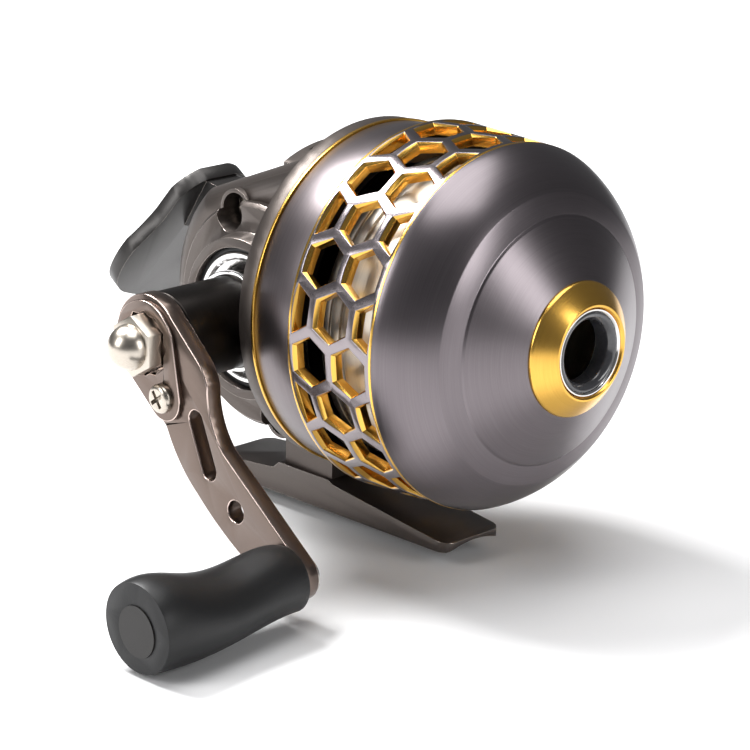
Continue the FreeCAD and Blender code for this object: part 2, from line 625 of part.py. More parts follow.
columns = int(number("cage_columns"))
period = 360.0 / columns
middle = number(f"({BAND_FRONT} + {CAGE_FRONT}) / 2")
pitch = number("cage_pitch")
openings = []
for column in range(columns):
    pair_angle = number("column_start") + column * period
    for step in (-0.5, 0.5):
        openings.append(cage_opening(middle + step * pitch, pair_angle))
    for step in (-1, 0, 1):
        openings.append(cage_opening(middle + step * pitch, pair_angle + period / 2))
cage_blank = Part.Face(Part.makePolygon([
    FreeCAD.Vector(number(BAND_FRONT), 0, number("cage_rear_radius")),
    FreeCAD.Vector(number(CAGE_FRONT), 0, number("cover_radius")),
    FreeCAD.Vector(number(CAGE_FRONT), 0, number(CAGE_INNER_FRONT)),
    FreeCAD.Vector(number(BAND_FRONT), 0, number(CAGE_INNER_REAR)),
    FreeCAD.Vector(number(BAND_FRONT), 0, number("cage_rear_radius")),
])).revolve(FreeCAD.Vector(), FreeCAD.Vector(1, 0, 0), 360)
cage = solid_piece("honeycomb_cage", cage_blank.cut(openings))
on_main_axis(cage)

cover = new_body("front_cover")
turn_up(cover, [
    (CAGE_FRONT, "cover_radius", "crown_radius", -1),
    (SHOULDER, "shoulder_radius"),
    (STEP, "step_radius"),
    (f"{STEP} + 0.35", "step_radius - 0.5"),
    (NOSE_BASE, "nose_base_radius"),
    (NOSE_BASE, "nose_shank_radius"),
    (f"{NOSE_BASE} - cover_wall * 1.2", "nose_shank_radius"),
    (f"{NOSE_BASE} - cover_wall * 1.2", "nose_base_radius - 0.4"),
    (f"{STEP} - cover_wall * 0.9", "step_radius - cover_wall * 0.4"),
    (f"{SHOULDER} - cover_wall", "shoulder_radius - cover_wall * 0.6"),
    (f"{CAGE_FRONT} + joint_lip", f"{CAGE_INNER_FRONT} - cover_wall * 0.6"),
    (f"{CAGE_FRONT} - joint_lip", f"{CAGE_INNER_FRONT} - cover_wall * 0.6"),
    (f"{CAGE_FRONT} - joint_lip", CAGE_INNER_FRONT),
    (CAGE_FRONT, CAGE_INNER_FRONT),
])
on_main_axis(cover)

nose = new_body("nose_ring")
turn_up(nose, [
    (f"{NOSE_BASE} - cover_wall * 1.2 - 0.6", "insert_radius"),
    (NOSE_LIP, "insert_radius"),
    (NOSE_LIP, "nose_lip_radius"),
    (f"{NOSE_BASE} + 0.35", "nose_base_radius"),
    (NOSE_BASE, "nose_base_radius"),
    (NOSE_BASE, "nose_shank_radius"),
    (f"{NOSE_BASE} - cover_wall * 1.2 - 0.6", "nose_shank_radius"),
])
on_main_axis(nose)
tube("nose_insert", f"{NOSE_LIP} - guide_length - 0.8", f"{NOSE_LIP} - 0.3", "guide_radius", "insert_radius", on_main_axis)
guide = new_body("line_guide")
GUIDE_FRONT = f"({NOSE_LIP} - 0.5)"
GUIDE_REAR = f"({GUIDE_FRONT} - guide_length)"
turn_up(guide, [
    (GUIDE_REAR, "guide_bore + guide_round"),
    (f"{GUIDE_REAR} + guide_round", "guide_bore"),
    (f"{GUIDE_FRONT} - guide_round", "guide_bore"),
    (GUIDE_FRONT, "guide_bore + guide_round"),
    (GUIDE_FRONT, "guide_radius"),
    (GUIDE_REAR, "guide_radius"),
])
on_main_axis(guide)

# ---------------------------------------------------------------- spool, drag and spinner head

HUB_FRONT = f"({FLANGE_FRONT} + hub_length)"
SPOOL_REAR = f"({FLANGE_FRONT} + spool_rear)"
SPOOL_FRONT = f"({SPOOL_REAR} + spool_length)"
JOURNAL = "(pinion_radius + 0.4)"
PINION_BEARING = "(hub_radius - 4.6)"
hub = new_body("spool_hub")
turn_up(hub, [
    (f"{FLANGE_FRONT} - flange_web", PINION_BEARING),
    (f"{FLANGE_FRONT} + 3.5", PINION_BEARING),
    (f"{FLANGE_FRONT} + 3.5", "hub_radius - 3"),
    (HUB_FRONT, "hub_radius - 3"),
    (HUB_FRONT, "hub_radius"),
    (FLANGE_FRONT, "hub_radius"),
    (FLANGE_FRONT, "hub_radius - 2.5"),
    (f"{FLANGE_FRONT} - flange_web", "hub_radius - 2.5"),
])
on_main_axis(hub)
tube("pinion_bearing", f"{FLANGE_FRONT} - 0.5", f"{FLANGE_FRONT} + 3.5", f"{JOURNAL} + running_gap", PINION_BEARING, on_main_axis)
tube("one_way_clutch", f"{FLANGE_FRONT} + 4", f"{FLANGE_FRONT} + 10", f"{JOURNAL} + running_gap", "hub_radius - 3", on_main_axis)
tube("hub_clip", f"{SPOOL_FRONT} + 0.4", f"{SPOOL_FRONT} + 1.2", "hub_radius", "hub_radius + 1.5", on_main_axis)
tube("drag_pressure_plate", f"{SPOOL_REAR} - 2.6", f"{SPOOL_REAR} - 1.6", "hub_radius", "washer_radius", on_main_axis)
tube("drag_washer", f"{SPOOL_REAR} - 1.6", f"{SPOOL_REAR} - 0.3", "hub_radius", "washer_radius", on_main_axis)

spool = new_body("spool")
turn_up(spool, [
    (SPOOL_REAR, "hub_radius + running_gap"),
    (SPOOL_FRONT, "hub_radius + running_gap"),
    (SPOOL_FRONT, "spool_flange_radius - 1"),
    (f"{SPOOL_FRONT} - spool_flange", "spool_flange_radius"),
    (f"{SPOOL_FRONT} - spool_flange", "arbor_radius"),
    (f"{SPOOL_REAR} + spool_flange", "arbor_radius"),
    (f"{SPOOL_REAR} + spool_flange", "spool_flange_radius + 1"),
    (SPOOL_REAR, "spool_flange_radius + 1"),
])
on_main_axis(spool)

HEAD_FRONT = "(head_rear + head_length)"
head = new_body("spinner_head")
turn_up(head, [
    ("head_rear", "head_radius - head_wall"),
    (f"{HEAD_FRONT} - 2.2 - head_wall", "head_radius - head_wall"),
    (f"{HEAD_FRONT} - head_wall", "head_radius - head_wall - 2.4"),
    (f"{HEAD_FRONT} - head_wall", "5"),
    (f"{HEAD_FRONT} - 4", "5"),
    (f"{HEAD_FRONT} - 4", "centre_shaft_radius"),
    (f"{HEAD_FRONT} + 0.4", "centre_shaft_radius"),
    (f"{HEAD_FRONT} + 0.4", "5"),
    (HEAD_FRONT, "6"),
    (HEAD_FRONT, "head_radius - 3.6"),
    (f"{HEAD_FRONT} - 3", "head_radius - 0.6"),
    (f"{HEAD_FRONT} - 3.6", "head_radius - 0.6"),
    (f"{HEAD_FRONT} - 3.6", "head_radius"),
    ("head_rear + 5.2", "head_radius"),
    ("head_rear + 5.2", "head_radius - 0.5"),
    ("head_rear + 4.2", "head_radius - 0.5"),
    ("head_rear + 4.2", "head_radius"),
    ("head_rear", "head_radius"),
])
on_main_axis(head)
PIN_PLACE = f"({HEAD_FRONT} - 6)"
grow(head, "XY_Plane", [("circle", PIN_PLACE, "0", "pin_radius + running_gap")], "head_radius - head_wall - 4", "head_radius + 1", cut=True)

pin = new_body("pickup_pin")
turn_up(pin, [
    ("head_radius - head_wall - 7", "0"),
    ("head_radius + pin_stand", "0"),
    ("head_radius + pin_stand", "pin_radius - 0.3"),
    ("head_radius + pin_stand - 0.3", "pin_radius"),
    ("head_radius - head_wall - 2.9", "pin_radius"),
    ("head_radius - head_wall - 2.9", "pin_radius + 0.5"),
    ("head_radius - head_wall - 3.6", "pin_radius + 0.5"),
    ("head_radius - head_wall - 3.6", "pin_radius - 0.3"),
    ("head_radius - head_wall - 7", "pin_radius - 0.3"),
])
pin.Placement = FreeCAD.Placement(FreeCAD.Vector(), FreeCAD.Rotation(0, -90, 0))
bind(pin, "Placement.Base.x", PIN_PLACE)
bind(pin, "Placement.Base.z", "axis_height")


def coil(start, along, radius, wire, turns):
    """A compression spring round an axis, from a point along a vector."""
    helix = Part.makeHelix(along.Length / turns, along.Length, radius)
    section = Part.Wire(Part.makeCircle(wire, FreeCAD.Vector(radius, 0, 0), FreeCAD.Vector(0, 1, 0)))
    spring = Part.Wire(helix.Edges).makePipeShell([section], True, True)
    spring.Placement = FreeCAD.Placement(start, FreeCAD.Rotation(FreeCAD.Vector(0, 0, 1), along))
    return spring


pin_spring_start = number("axis_height + head_radius - head_wall - 10")
solid_piece("pin_spring", coil(FreeCAD.Vector(number(PIN_PLACE), 0, pin_spring_start), FreeCAD.Vector(0, 0, 3.6), 1.15, 0.2, 4))

# ---------------------------------------------------------------- shaft through the middle

SHAFT_REAR = "(-crank_setback - 13)"
shaft = new_body("centre_shaft")
turn_up(shaft, [
    (SHAFT_REAR, "0"),
    (f"{HEAD_FRONT} + 3.4", "0"),
    (f"{HEAD_FRONT} + 3.4", "centre_shaft_radius"),
    (SHAFT_REAR, "centre_shaft_radius"),
])
on_main_axis(shaft)
nut_face = number(f"{HEAD_FRONT} + 0.4")
spinner_nut = Part.Face(Part.makePolygon([
    FreeCAD.Vector(nut_face, 2.9 * math.cos(math.radians(60 * k)), 2.9 * math.sin(math.radians(60 * k)))
    for k in range(7)
])).extrude(FreeCAD.Vector(2.2, 0, 0))
spinner_nut = spinner_nut.cut(rod(FreeCAD.Vector(nut_face - 1, 0, 0), FreeCAD.Vector(5, 0, 0), number("centre_shaft_radius")))
on_main_axis(solid_piece("spinner_nut", spinner_nut))
tube("shaft_clip", f"{SHAFT_REAR} + 1.6", f"{SHAFT_REAR} + 2.4", "centre_shaft_radius", "centre_shaft_radius + 0.5", on_main_axis)
cap = new_body("thrust_cap")
CAP_REAR = "(-pivot_setback + nose_forward + nose_radius + contact_gap)"
turn_up(cap, [
    (CAP_REAR, "0"),
    (f"{SHAFT_REAR} - 0.05", "0"),
    (f"{SHAFT_REAR} - 0.05", "centre_shaft_radius + running_gap"),
    (f"{SHAFT_REAR} + 1.2", "centre_shaft_radius + running_gap"),
    (f"{SHAFT_REAR} + 1.2", "centre_shaft_radius + 0.6"),
    (CAP_REAR, "centre_shaft_radius + 0.6"),
])
on_main_axis(cap)
PINION_REAR = "(-crank_setback + pinion_radius * gear_teeth / pinion_teeth - gear_face / 2)"
spring_start = FreeCAD.Vector(number(f"{SHAFT_REAR} + 2.7"), 0, number("axis_height"))
spring_span = FreeCAD.Vector(number(f"{PINION_REAR} - 0.6 - ({SHAFT_REAR} + 2.7)"), 0, 0)
solid_piece("shaft_spring", coil(spring_start, spring_span, number("centre_shaft_radius + 0.35"), 0.15, 9))

# ---------------------------------------------------------------- gears


def at(x, y, z):
    return FreeCAD.Vector(x, y, z)


def ring_of_teeth(count, root, tip, root_width, tip_width):
    """A spur gear outline in the YZ plane, one tooth pointing along -Y."""
    points = []
    for tooth in range(count):
        centre = math.pi + 2 * math.pi * tooth / count
        for radius, width in ((root, -root_width), (tip, -tip_width), (tip, tip_width), (root, root_width)):
            turn = centre + width / 2 / radius
            points.append(at(0, radius * math.cos(turn), radius * math.sin(turn)))
    return Part.Face(Part.makePolygon(points + points[:1]))


pinion_teeth = int(number("pinion_teeth"))
gear_teeth = int(number("gear_teeth"))
tooth_pitch = 2 * math.pi * number("pinion_radius") / pinion_teeth
face = number("gear_face")
pinion_rear = number(PINION_REAR)
pinion_root = number("pinion_radius - tooth_rise")
pinion_tip = number("pinion_radius + tooth_rise")
toothed = ring_of_teeth(pinion_teeth, pinion_root, pinion_tip, tooth_pitch * 0.48, tooth_pitch * 0.19).extrude(at(face + 0.6, 0, 0))
toothed.translate(at(pinion_rear - 0.3, 0, 0))
journal_rear = pinion_rear + face + 0.3
journal = rod(at(journal_rear, 0, 0), at(number(f"{HUB_FRONT} - 1") - journal_rear, 0, 0), number(JOURNAL))
pinion_bore = rod(at(pinion_rear - 1, 0, 0), at(60, 0, 0), number("centre_shaft_radius + running_gap"))
on_main_axis(solid_piece("pinion_gear", toothed.fuse(journal).cut(pinion_bore).removeSplitter()))

GEAR_FACE = "(pinion_radius + tooth_rise + tooth_clearance)"
gear_face_place = number(GEAR_FACE)
gear_tip_place = number("pinion_radius - tooth_rise + tooth_clearance")
mesh_reach = number("pinion_radius * gear_teeth / pinion_teeth")
offset = number("axis_height - crank_height")
gear_radius = math.hypot(mesh_reach + face / 2, offset) + 0.3
gear = rod(at(gear_face_place, 0, 0), at(number("gear_thickness"), 0, 0), gear_radius)
gear = gear.fuse(rod(at(gear_face_place, 0, 0), at(number("gear_thickness + 3"), 0, 0), number("shaft_radius + 2.4")))
teeth = []
half_root = tooth_pitch * 0.225
half_tip = tooth_pitch * 0.09
tooth_section = Part.Face(Part.makePolygon([
    at(gear_face_place + 0.2, mesh_reach - face / 2, offset - half_root),
    at(gear_tip_place, mesh_reach - face / 2, offset - half_tip),
    at(gear_tip_place, mesh_reach - face / 2, offset + half_tip),
    at(gear_face_place + 0.2, mesh_reach - face / 2, offset + half_root),
    at(gear_face_place + 0.2, mesh_reach - face / 2, offset - half_root),
]))
for index in range(gear_teeth):
    tooth = tooth_section.extrude(at(0, face, 0))
    tooth.rotate(at(0, 0, 0), at(1, 0, 0), 360.0 * (index + 0.5) / gear_teeth)
    teeth.append(tooth)
gear = gear.fuse(teeth)
gear = gear.cut(rod(at(0, 0, 0), at(30, 0, 0), number("shaft_radius")))
on_crank_axis(solid_piece("drive_gear", gear.removeSplitter()))

# ---------------------------------------------------------------- crank

COLLAR_SEAT = f"({BOSS_FACE} - boss_depth)"
tube("crank_bushing", "case_half - case_wall", "case_half + 0.5", "shaft_radius + running_gap", "bush_radius", on_crank_axis)
tube("crank_bearing", f"{COLLAR_SEAT} - bearing_width + 1.5", COLLAR_SEAT, "shaft_radius + running_gap", "bearing_radius", on_crank_axis)
seal = tube("dust_seal", COLLAR_SEAT, f"{COLLAR_SEAT} + 1.1", "collar_radius", "boss_bore", on_crank_axis)
flat_behind_flange(seal, f"{COLLAR_SEAT} - 0.1", f"{BOSS_FACE} + 1")
collar = new_body("boss_collar")
turn_up(collar, [
    (COLLAR_SEAT, "sleeve_radius + sleeve_gap"),
    (f"{COLLAR_SEAT} + 0.5", "sleeve_radius + sleeve_gap"),
    (f"{COLLAR_SEAT} + 0.8", "collar_radius - 1.4"),
    (f"{COLLAR_SEAT} + collar_height", "collar_radius - 0.9"),
    (f"{COLLAR_SEAT} + collar_height", "collar_radius - 0.2"),
    (f"{COLLAR_SEAT} + collar_height - 0.3", "collar_radius"),
    (COLLAR_SEAT, "collar_radius"),
])
on_crank_axis(collar)
flat_behind_flange(collar, f"{COLLAR_SEAT} - 0.1", f"{BOSS_FACE} + 1")

ARM_INNER = "(arm_reach - arm_thickness)"
SHAFT_INNER = GEAR_FACE
tube("crankshaft", SHAFT_INNER, "arm_reach + nut_height", "0", "shaft_radius", on_crank_axis)
tube("gear_clip", f"{SHAFT_INNER} + gear_thickness + 3", f"{SHAFT_INNER} + gear_thickness + 3.8",
     "shaft_radius", "shaft_radius + 1.6", on_crank_axis)
sleeve = new_body("crank_sleeve")
SLEEVE_FOOT = f"({COLLAR_SEAT} + sleeve_gap)"
turn_up(sleeve, [
    (SLEEVE_FOOT, "shaft_radius"),
    (ARM_INNER, "shaft_radius"),
    (ARM_INNER, "sleeve_radius - 0.6"),
    (f"{ARM_INNER} - 0.6", "sleeve_radius"),
    (SLEEVE_FOOT, "sleeve_radius"),
])
on_crank_axis(sleeve)
tube("sleeve_base_ring", f"{BOSS_FACE} + 0.9", f"{BOSS_FACE} + 2.1", "sleeve_radius", "base_ring_radius", on_crank_axis)

# crank arm: round boss, a waist that swings forward, and a straight run down to the knob
arm = new_body("crank_arm")
arm_outline = [
    ("0", "arm_boss", "arm_boss", 1),
    ("-arm_boss", "0", "arm_boss", 1),
    ("-arm_boss * 0.62", "-arm_boss * 0.785"),
    ("4.4", "-knob_drop * 0.42", "26", 1),
    ("knob_forward * 0.35", "-knob_drop * 0.73", "60", 1),
    ("knob_forward - arm_end * 0.62", "-knob_drop - arm_end * 0.78", "arm_end", 1),
    ("knob_forward + arm_end * 0.63", "-knob_drop + arm_end * 0.765"),
    ("knob_forward * 0.54", "-knob_drop * 0.46", "14", -1),
    ("knob_forward * 0.43", "-knob_drop * 0.14", "9", 1),
    ("knob_forward * 0.37", "-knob_drop * 0.02"),
    ("arm_boss * 0.75", "arm_boss * 0.66", "arm_boss", 1),
]
grow(arm, "YZ_Plane", [arm_outline], ARM_INNER, "arm_reach")
slot_ends = [("knob_forward * 0.345", "-knob_drop * 0.33"), ("knob_forward * 0.44", "-knob_drop * 0.58")]
SLOT_HALF = 1.7
run_y = number(f"({slot_ends[1][0]}) - ({slot_ends[0][0]})")
run_z = number(f"({slot_ends[1][1]}) - ({slot_ends[0][1]})")
run = math.hypot(run_y, run_z)
across_y = -run_z / run * SLOT_HALF
across_z = run_y / run * SLOT_HALF
arm_slot = [
    (f"{slot_ends[0][0]} + {across_y}", f"{slot_ends[0][1]} + {across_z}", f"{SLOT_HALF * 1.001}", 1),
    (f"{slot_ends[0][0]} - {across_y}", f"{slot_ends[0][1]} - {across_z}"),
    (f"{slot_ends[1][0]} - {across_y}", f"{slot_ends[1][1]} - {across_z}", f"{SLOT_HALF * 1.001}", 1),
    (f"{slot_ends[1][0]} + {across_y}", f"{slot_ends[1][1]} + {across_z}"),
]
grow(arm, "YZ_Plane", [arm_slot], f"{ARM_INNER} - 0.1", "arm_reach + 0.1", cut=True)
arm_holes = [
    ("circle", "0", "0", "shaft_radius"),
    ("circle", "knob_forward * 0.627", "-knob_drop * 0.747", "1.9"),
    ("circle", "knob_forward", "-knob_drop", "spindle_radius"),
]
grow(arm, "YZ_Plane", arm_holes, f"{ARM_INNER} - 0.1", "arm_reach + 0.1", cut=True)
on_crank_axis(arm)

RETAINER_SCREW_Y = 4.8
RETAINER_SCREW_Z = -8.3
tail_distance = math.hypot(RETAINER_SCREW_Y, RETAINER_SCREW_Z)
tail_heading = math.atan2(RETAINER_SCREW_Z, RETAINER_SCREW_Y)
lean = math.acos(number("retainer_radius - retainer_tail") / tail_distance)
face_out = number("arm_reach")
plate_height = number("retainer_thickness")
tangents = []
for side in (1, -1):
    turned_to = tail_heading + side * lean
    for centre_y, centre_z, radius in ((0, 0, "retainer_radius"), (RETAINER_SCREW_Y, RETAINER_SCREW_Z, "retainer_tail")):
        reach = number(radius)
        tangents.append(at(face_out, centre_y + reach * math.cos(turned_to), centre_z + reach * math.sin(turned_to)))
bridge = Part.Face(Part.makePolygon([tangents[0], tangents[1], tangents[3], tangents[2], tangents[0]]))
retainer = bridge.extrude(at(plate_height, 0, 0))
retainer = retainer.fuse(rod(at(face_out, 0, 0), at(plate_height, 0, 0), number("retainer_radius")))
retainer = retainer.fuse(rod(at(face_out, RETAINER_SCREW_Y, RETAINER_SCREW_Z), at(plate_height, 0, 0), number("retainer_tail")))
star = []
nut_corner = number("nut_flats") / math.sqrt(3) + 0.25
for point in range(24):
    reach = nut_corner if point % 2 == 0 else nut_corner * 0.9
    star.append(at(face_out - 0.1, reach * math.cos(math.radians(15 * point)), reach * math.sin(math.radians(15 * point))))
retainer = retainer.cut(Part.Face(Part.makePolygon(star + star[:1])).extrude(at(plate_height + 0.2, 0, 0)))
RETAINER_SHANK = 1.1
screw_spot = at(face_out - 1, RETAINER_SCREW_Y, RETAINER_SCREW_Z)
retainer = retainer.cut(rod(screw_spot, at(plate_height + 2, 0, 0), RETAINER_SHANK))
on_crank_axis(solid_piece("retainer_plate", retainer.removeSplitter()))
grow(arm, "YZ_Plane", [("circle", str(RETAINER_SCREW_Y), str(RETAINER_SCREW_Z), str(RETAINER_SHANK))],
     f"{ARM_INNER} + 0.6", "arm_reach + 0.1", cut=True)

hexagon = Part.Face(Part.makePolygon([
    at(face_out, number("nut_flats") / math.sqrt(3) * math.cos(math.radians(60 * k)),
       number("nut_flats") / math.sqrt(3) * math.sin(math.radians(60 * k))) for k in range(7)
]))
nut_height = number("nut_height")
nut_dome = number("nut_total - nut_height")
dome_radius = number("nut_flats") / 2 * 0.84
nut = hexagon.extrude(at(nut_height, 0, 0))
nut = nut.common(Part.makeCone(number("nut_flats") * 0.5 + 2.6, number("nut_flats") * 0.5 - 0.1, nut_height,
                               at(face_out, 0, 0), at(1, 0, 0)))
nut = nut.fuse(rod(at(face_out + nut_height - 0.5, 0, 0), at(0.5 + nut_dome - dome_radius, 0, 0), dome_radius))
nut = nut.fuse(Part.makeSphere(dome_radius, at(face_out + nut_height + nut_dome - dome_radius, 0, 0), at(1, 0, 0), 0, 90, 360))
nut = nut.cut(rod(at(face_out - 1, 0, 0), at(1 + nut_height, 0, 0), number("shaft_radius")))
on_crank_axis(solid_piece("acorn_nut", nut.removeSplitter()))

retainer_screw = screw_shape(2.5, 1.5, RETAINER_SHANK, 2.6, 0.7)
retainer_screw.rotate(at(0, 0, 0), at(0, 1, 0), 90)
retainer_screw.rotate(at(0, 0, 0), at(1, 0, 0), 35)
retainer_screw.translate(at(face_out + plate_height, RETAINER_SCREW_Y, RETAINER_SCREW_Z))
on_crank_axis(solid_piece("retainer_screw", Part.makeCompound([retainer_screw])))

# ---------------------------------------------------------------- knob


def on_knob_axis(body):
    body.Placement = FreeCAD.Placement(FreeCAD.Vector(), FreeCAD.Rotation(-90, 0, 0))
    bind(body, "Placement.Base.x", "-crank_setback + knob_forward")
    bind(body, "Placement.Base.z", "crank_height - knob_drop")


KNOB_INNER = "(arm_reach + knob_gap)"
KNOB_OUTER = f"({KNOB_INNER} + knob_length)"
spindle = new_body("knob_spindle")
turn_up(spindle, [
    (f"{ARM_INNER} - 0.8", "0"),
    (f"{KNOB_OUTER} - 3", "0"),
    (f"{KNOB_OUTER} - 3", "spindle_radius + 1.4"),
    (f"{KNOB_OUTER} - 3.8", "spindle_radius + 1.4"),
    (f"{KNOB_OUTER} - 3.8", "spindle_radius"),
    (ARM_INNER, "spindle_radius"),
    (ARM_INNER, "spindle_radius + 1.2"),
    (f"{ARM_INNER} - 0.8", "spindle_radius + 1.2"),
])
on_knob_axis(spindle)
# sections along the knob: place, half width along the reel, half height, and how far it stands up
KNOB_SECTIONS = ((0.0, 5.6, 5.5, 0.4), (0.22, 6.3, 5.9, 0.5), (0.55, 7.4, 6.2, -0.4), (0.85, 7.9, 7.6, 0.5), (1.0, 7.6, 7.3, 0.5))
sections = []
for index, (share, half_width, half_height, lift) in enumerate(KNOB_SECTIONS):
    oval = doc.addObject("Part::Ellipse", f"KnobSection{index}")
    oval.MajorRadius = half_width
    oval.MinorRadius = half_height
    oval.Placement = FreeCAD.Placement(at(0, 0, lift), FreeCAD.Rotation(FreeCAD.Vector(1, 0, 0), 90))
    bind(oval, "Placement.Base.y", f"-{KNOB_INNER} - {share} * knob_length")
    bind(oval, "Placement.Base.x", "-crank_setback + knob_forward")
    bind(oval, "Placement.Base.z", f"crank_height - knob_drop + {lift}")
    sections.append(oval)
knob_loft = doc.addObject("Part::Loft", "KnobLoft")
knob_loft.Sections = sections
knob_loft.Solid = True
doc.recompute()
knob_bore = doc.addObject("Part::Feature", "KnobBore")
knob_out = number(KNOB_OUTER)
inner_start = number(KNOB_INNER) - 1
bore = rod(at(inner_start, 0, 0), at(knob_out, 0, 0), number("spindle_radius + running_gap"))
bore = bore.fuse(rod(at(knob_out - 4.1, 0, 0), at(6, 0, 0), number("knob_cap_radius")))
knob_bore.Shape = bore
on_knob_axis(knob_bore)
knob = doc.addObject("Part::Cut", "handle_knob")
knob.Label = "handle_knob"
knob.Base = knob_loft
knob.Tool = knob_bore
PIECES.append(knob)
tube("knob_cap", f"{KNOB_OUTER} - 2.6", f"{KNOB_OUTER} + 0.2", "0", "knob_cap_radius", on_knob_axis)

# ---------------------------------------------------------------- drag dial

notch_count = int(number("dial_notches"))
dial_rear = number(DIAL_REAR)
dial_thickness = number("dial_thickness")
dial_radius = number("dial_radius")
dial = rod(at(dial_rear, 0, 0), at(dial_thickness, 0, 0), dial_radius)
notches = []
for index in range(notch_count):
    turn = 2 * math.pi * index / notch_count
    notches.append(rod(at(dial_rear - 1, (dial_radius + 0.15) * math.cos(turn), (dial_radius + 0.15) * math.sin(turn)),
                       at(dial_thickness + 2, 0, 0), 0.5))
dial = dial.cut(notches).cut(rod(at(dial_rear - 1, 0, 0), at(9, 0, 0), number("drag_screw_radius")))


def on_dial_axis(body):
    bind(body, "Placement.Base.z", "dial_height")


on_dial_axis(solid_piece("drag_dial", dial))
tube("drag_screw", f"{GUARD_REAR} + 1", f"{SPOOL_REAR} - 2.8", "0", "drag_screw_radius", on_dial_axis)

# ---------------------------------------------------------------- thumb lever, drawn lying on its pin


def on_lever(body):
    """The lever's own frame starts at its pin, X down along the paddle, Z out of its thumb face."""
    body.Placement = FreeCAD.Placement(FreeCAD.Vector(), FreeCAD.Rotation(180, number("paddle_tilt"), 0))
    bind(body, "Placement.Base.x", "-pivot_setback")
    bind(body, "Placement.Base.z", "pivot_height")


lever = new_body("thumb_lever")
PADDLE_OUTER = "(paddle_distance + paddle_thickness)"
paddle = [
    ("1.8", "-3.2", "9", 1),
    ("5.6", "-8.4"),
    ("10.5", "-9.6", "30", -1),
    ("17.5", "-13.4", "16", 1),
    ("24.5", "-14.2", "7", 1),
    ("30.0", "-9.8", "22", 1),
    ("30.0", "9.8", "7", 1),
    ("24.5", "14.2", "16", 1),
    ("17.5", "13.4", "30", -1),
    ("10.5", "9.6"),
    ("5.6", "8.4", "9", 1),
    ("1.8", "3.2"),
]
grow(lever, "XY_Plane", [paddle], "paddle_distance", PADDLE_OUTER)
neck = [
    ("2.5", "paddle_distance + 0.4"),
    ("-2.6", "1.6"),
    ("3.2", "-1.2"),
    ("14", "paddle_distance + 0.4"),
]
half_neck = "lever_width / 2"
tilt_sin = "sin(paddle_tilt)"
tilt_cos = "cos(paddle_tilt)"
NOSE_ALONG = f"(nose_drop * {tilt_sin} - nose_forward * {tilt_cos})"
NOSE_OUT = f"(-nose_drop * {tilt_cos} - nose_forward * {tilt_sin})"
inner_arm = [
    ("-2.6", "1.6"),
    (f"{NOSE_ALONG} - nose_radius", NOSE_OUT),
    (f"{NOSE_ALONG} + nose_radius", f"{NOSE_OUT} + 0.3"),
    ("3.2", "1.4"),
]
grow(lever, "XZ_Plane", [neck], f"-{half_neck}", half_neck)
grow(lever, "XZ_Plane", [("circle", "0", "0", "pivot_radius + 1.7")], f"-{half_neck}", half_neck)
grow(lever, "XZ_Plane", [inner_arm], "-2", "2")
grow(lever, "XZ_Plane", [("circle", NOSE_ALONG, NOSE_OUT, "nose_radius")], "-2", "2")
grow(lever, "XZ_Plane", [("circle", "0", "0", "pivot_radius + running_gap")], f"-{half_neck} - 0.1", f"{half_neck} + 0.1", cut=True)
on_lever(lever)

lever_pin = doc.addObject("Part::Cylinder", "lever_pin")
lever_pin.Label = "lever_pin"
lever_pin.Placement = FreeCAD.Placement(FreeCAD.Vector(), FreeCAD.Rotation(FreeCAD.Vector(1, 0, 0), 90))
bind(lever_pin, "Radius", "pivot_radius")
bind(lever_pin, "Height", "case_half - 1 + case_split - 0.2")
bind(lever_pin, "Placement.Base.x", "-pivot_setback")
bind(lever_pin, "Placement.Base.y", "case_split - 0.2")
bind(lever_pin, "Placement.Base.z", "pivot_height")
PIECES.append(lever_pin)

# ---------------------------------------------------------------- screws of the case and foot


def screw_group(label, screw, places, turn_axis, angle):
    """The same screw at several places, turned from +Z to its own direction."""
    copies = []
    for place in places:
        one = screw.copy()
        one.rotate(FreeCAD.Vector(), turn_axis, angle)
        one.translate(place)
        copies.append(one)
    return solid_piece(label, Part.makeCompound(copies))


side_seat = -number(f"{CUP_BOTTOM} + {CUP_FLOOR}")
side_screws = [at(number(x), side_seat, number(z)) for x, z in side_screw_places]
screw_group("side_plate_screws", screw_shape(2.3, 1.4, M2_RADIUS, 2.2, 0.7), side_screws, at(1, 0, 0), 90)
far_seat = number("case_half") - COVER_SCREW_SINK
far_screws = [at(number(x), far_seat, number(z)) for x, z in cover_screw_places]
screw_group("far_cover_screws", screw_shape(1.9, 1.0, M2_RADIUS, 4.8, 0.6), far_screws, at(1, 0, 0), -90)
foot_screws = [at(number(x), number(y), 1.8) for x, y in foot_screw_places]
screw_group("foot_screws", screw_shape(2.0, 1.3, M2_RADIUS, 8.0, 0.6), foot_screws, at(1, 0, 0), 180)

# ---------------------------------------------------------------- check and write

doc.recompute()
for thing in doc.Objects:
    if "Invalid" in thing.State or "Error" in thing.State:
        raise RuntimeError(f"{thing.Label} did not rebuild: {thing.State}")
os.makedirs("parts", exist_ok=True)
for piece in PIECES:
    shape = piece.Shape
    if shape.isNull() or not shape.isValid() or not shape.Solids:
        raise RuntimeError(f"{piece.Label} has no valid solid")
    shape.exportStep(f"parts/{piece.Label}.step")
print(f"{len(PIECES)} pieces written")
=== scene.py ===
import math

import bmesh
import bpy
from mathutils import Matrix, Vector


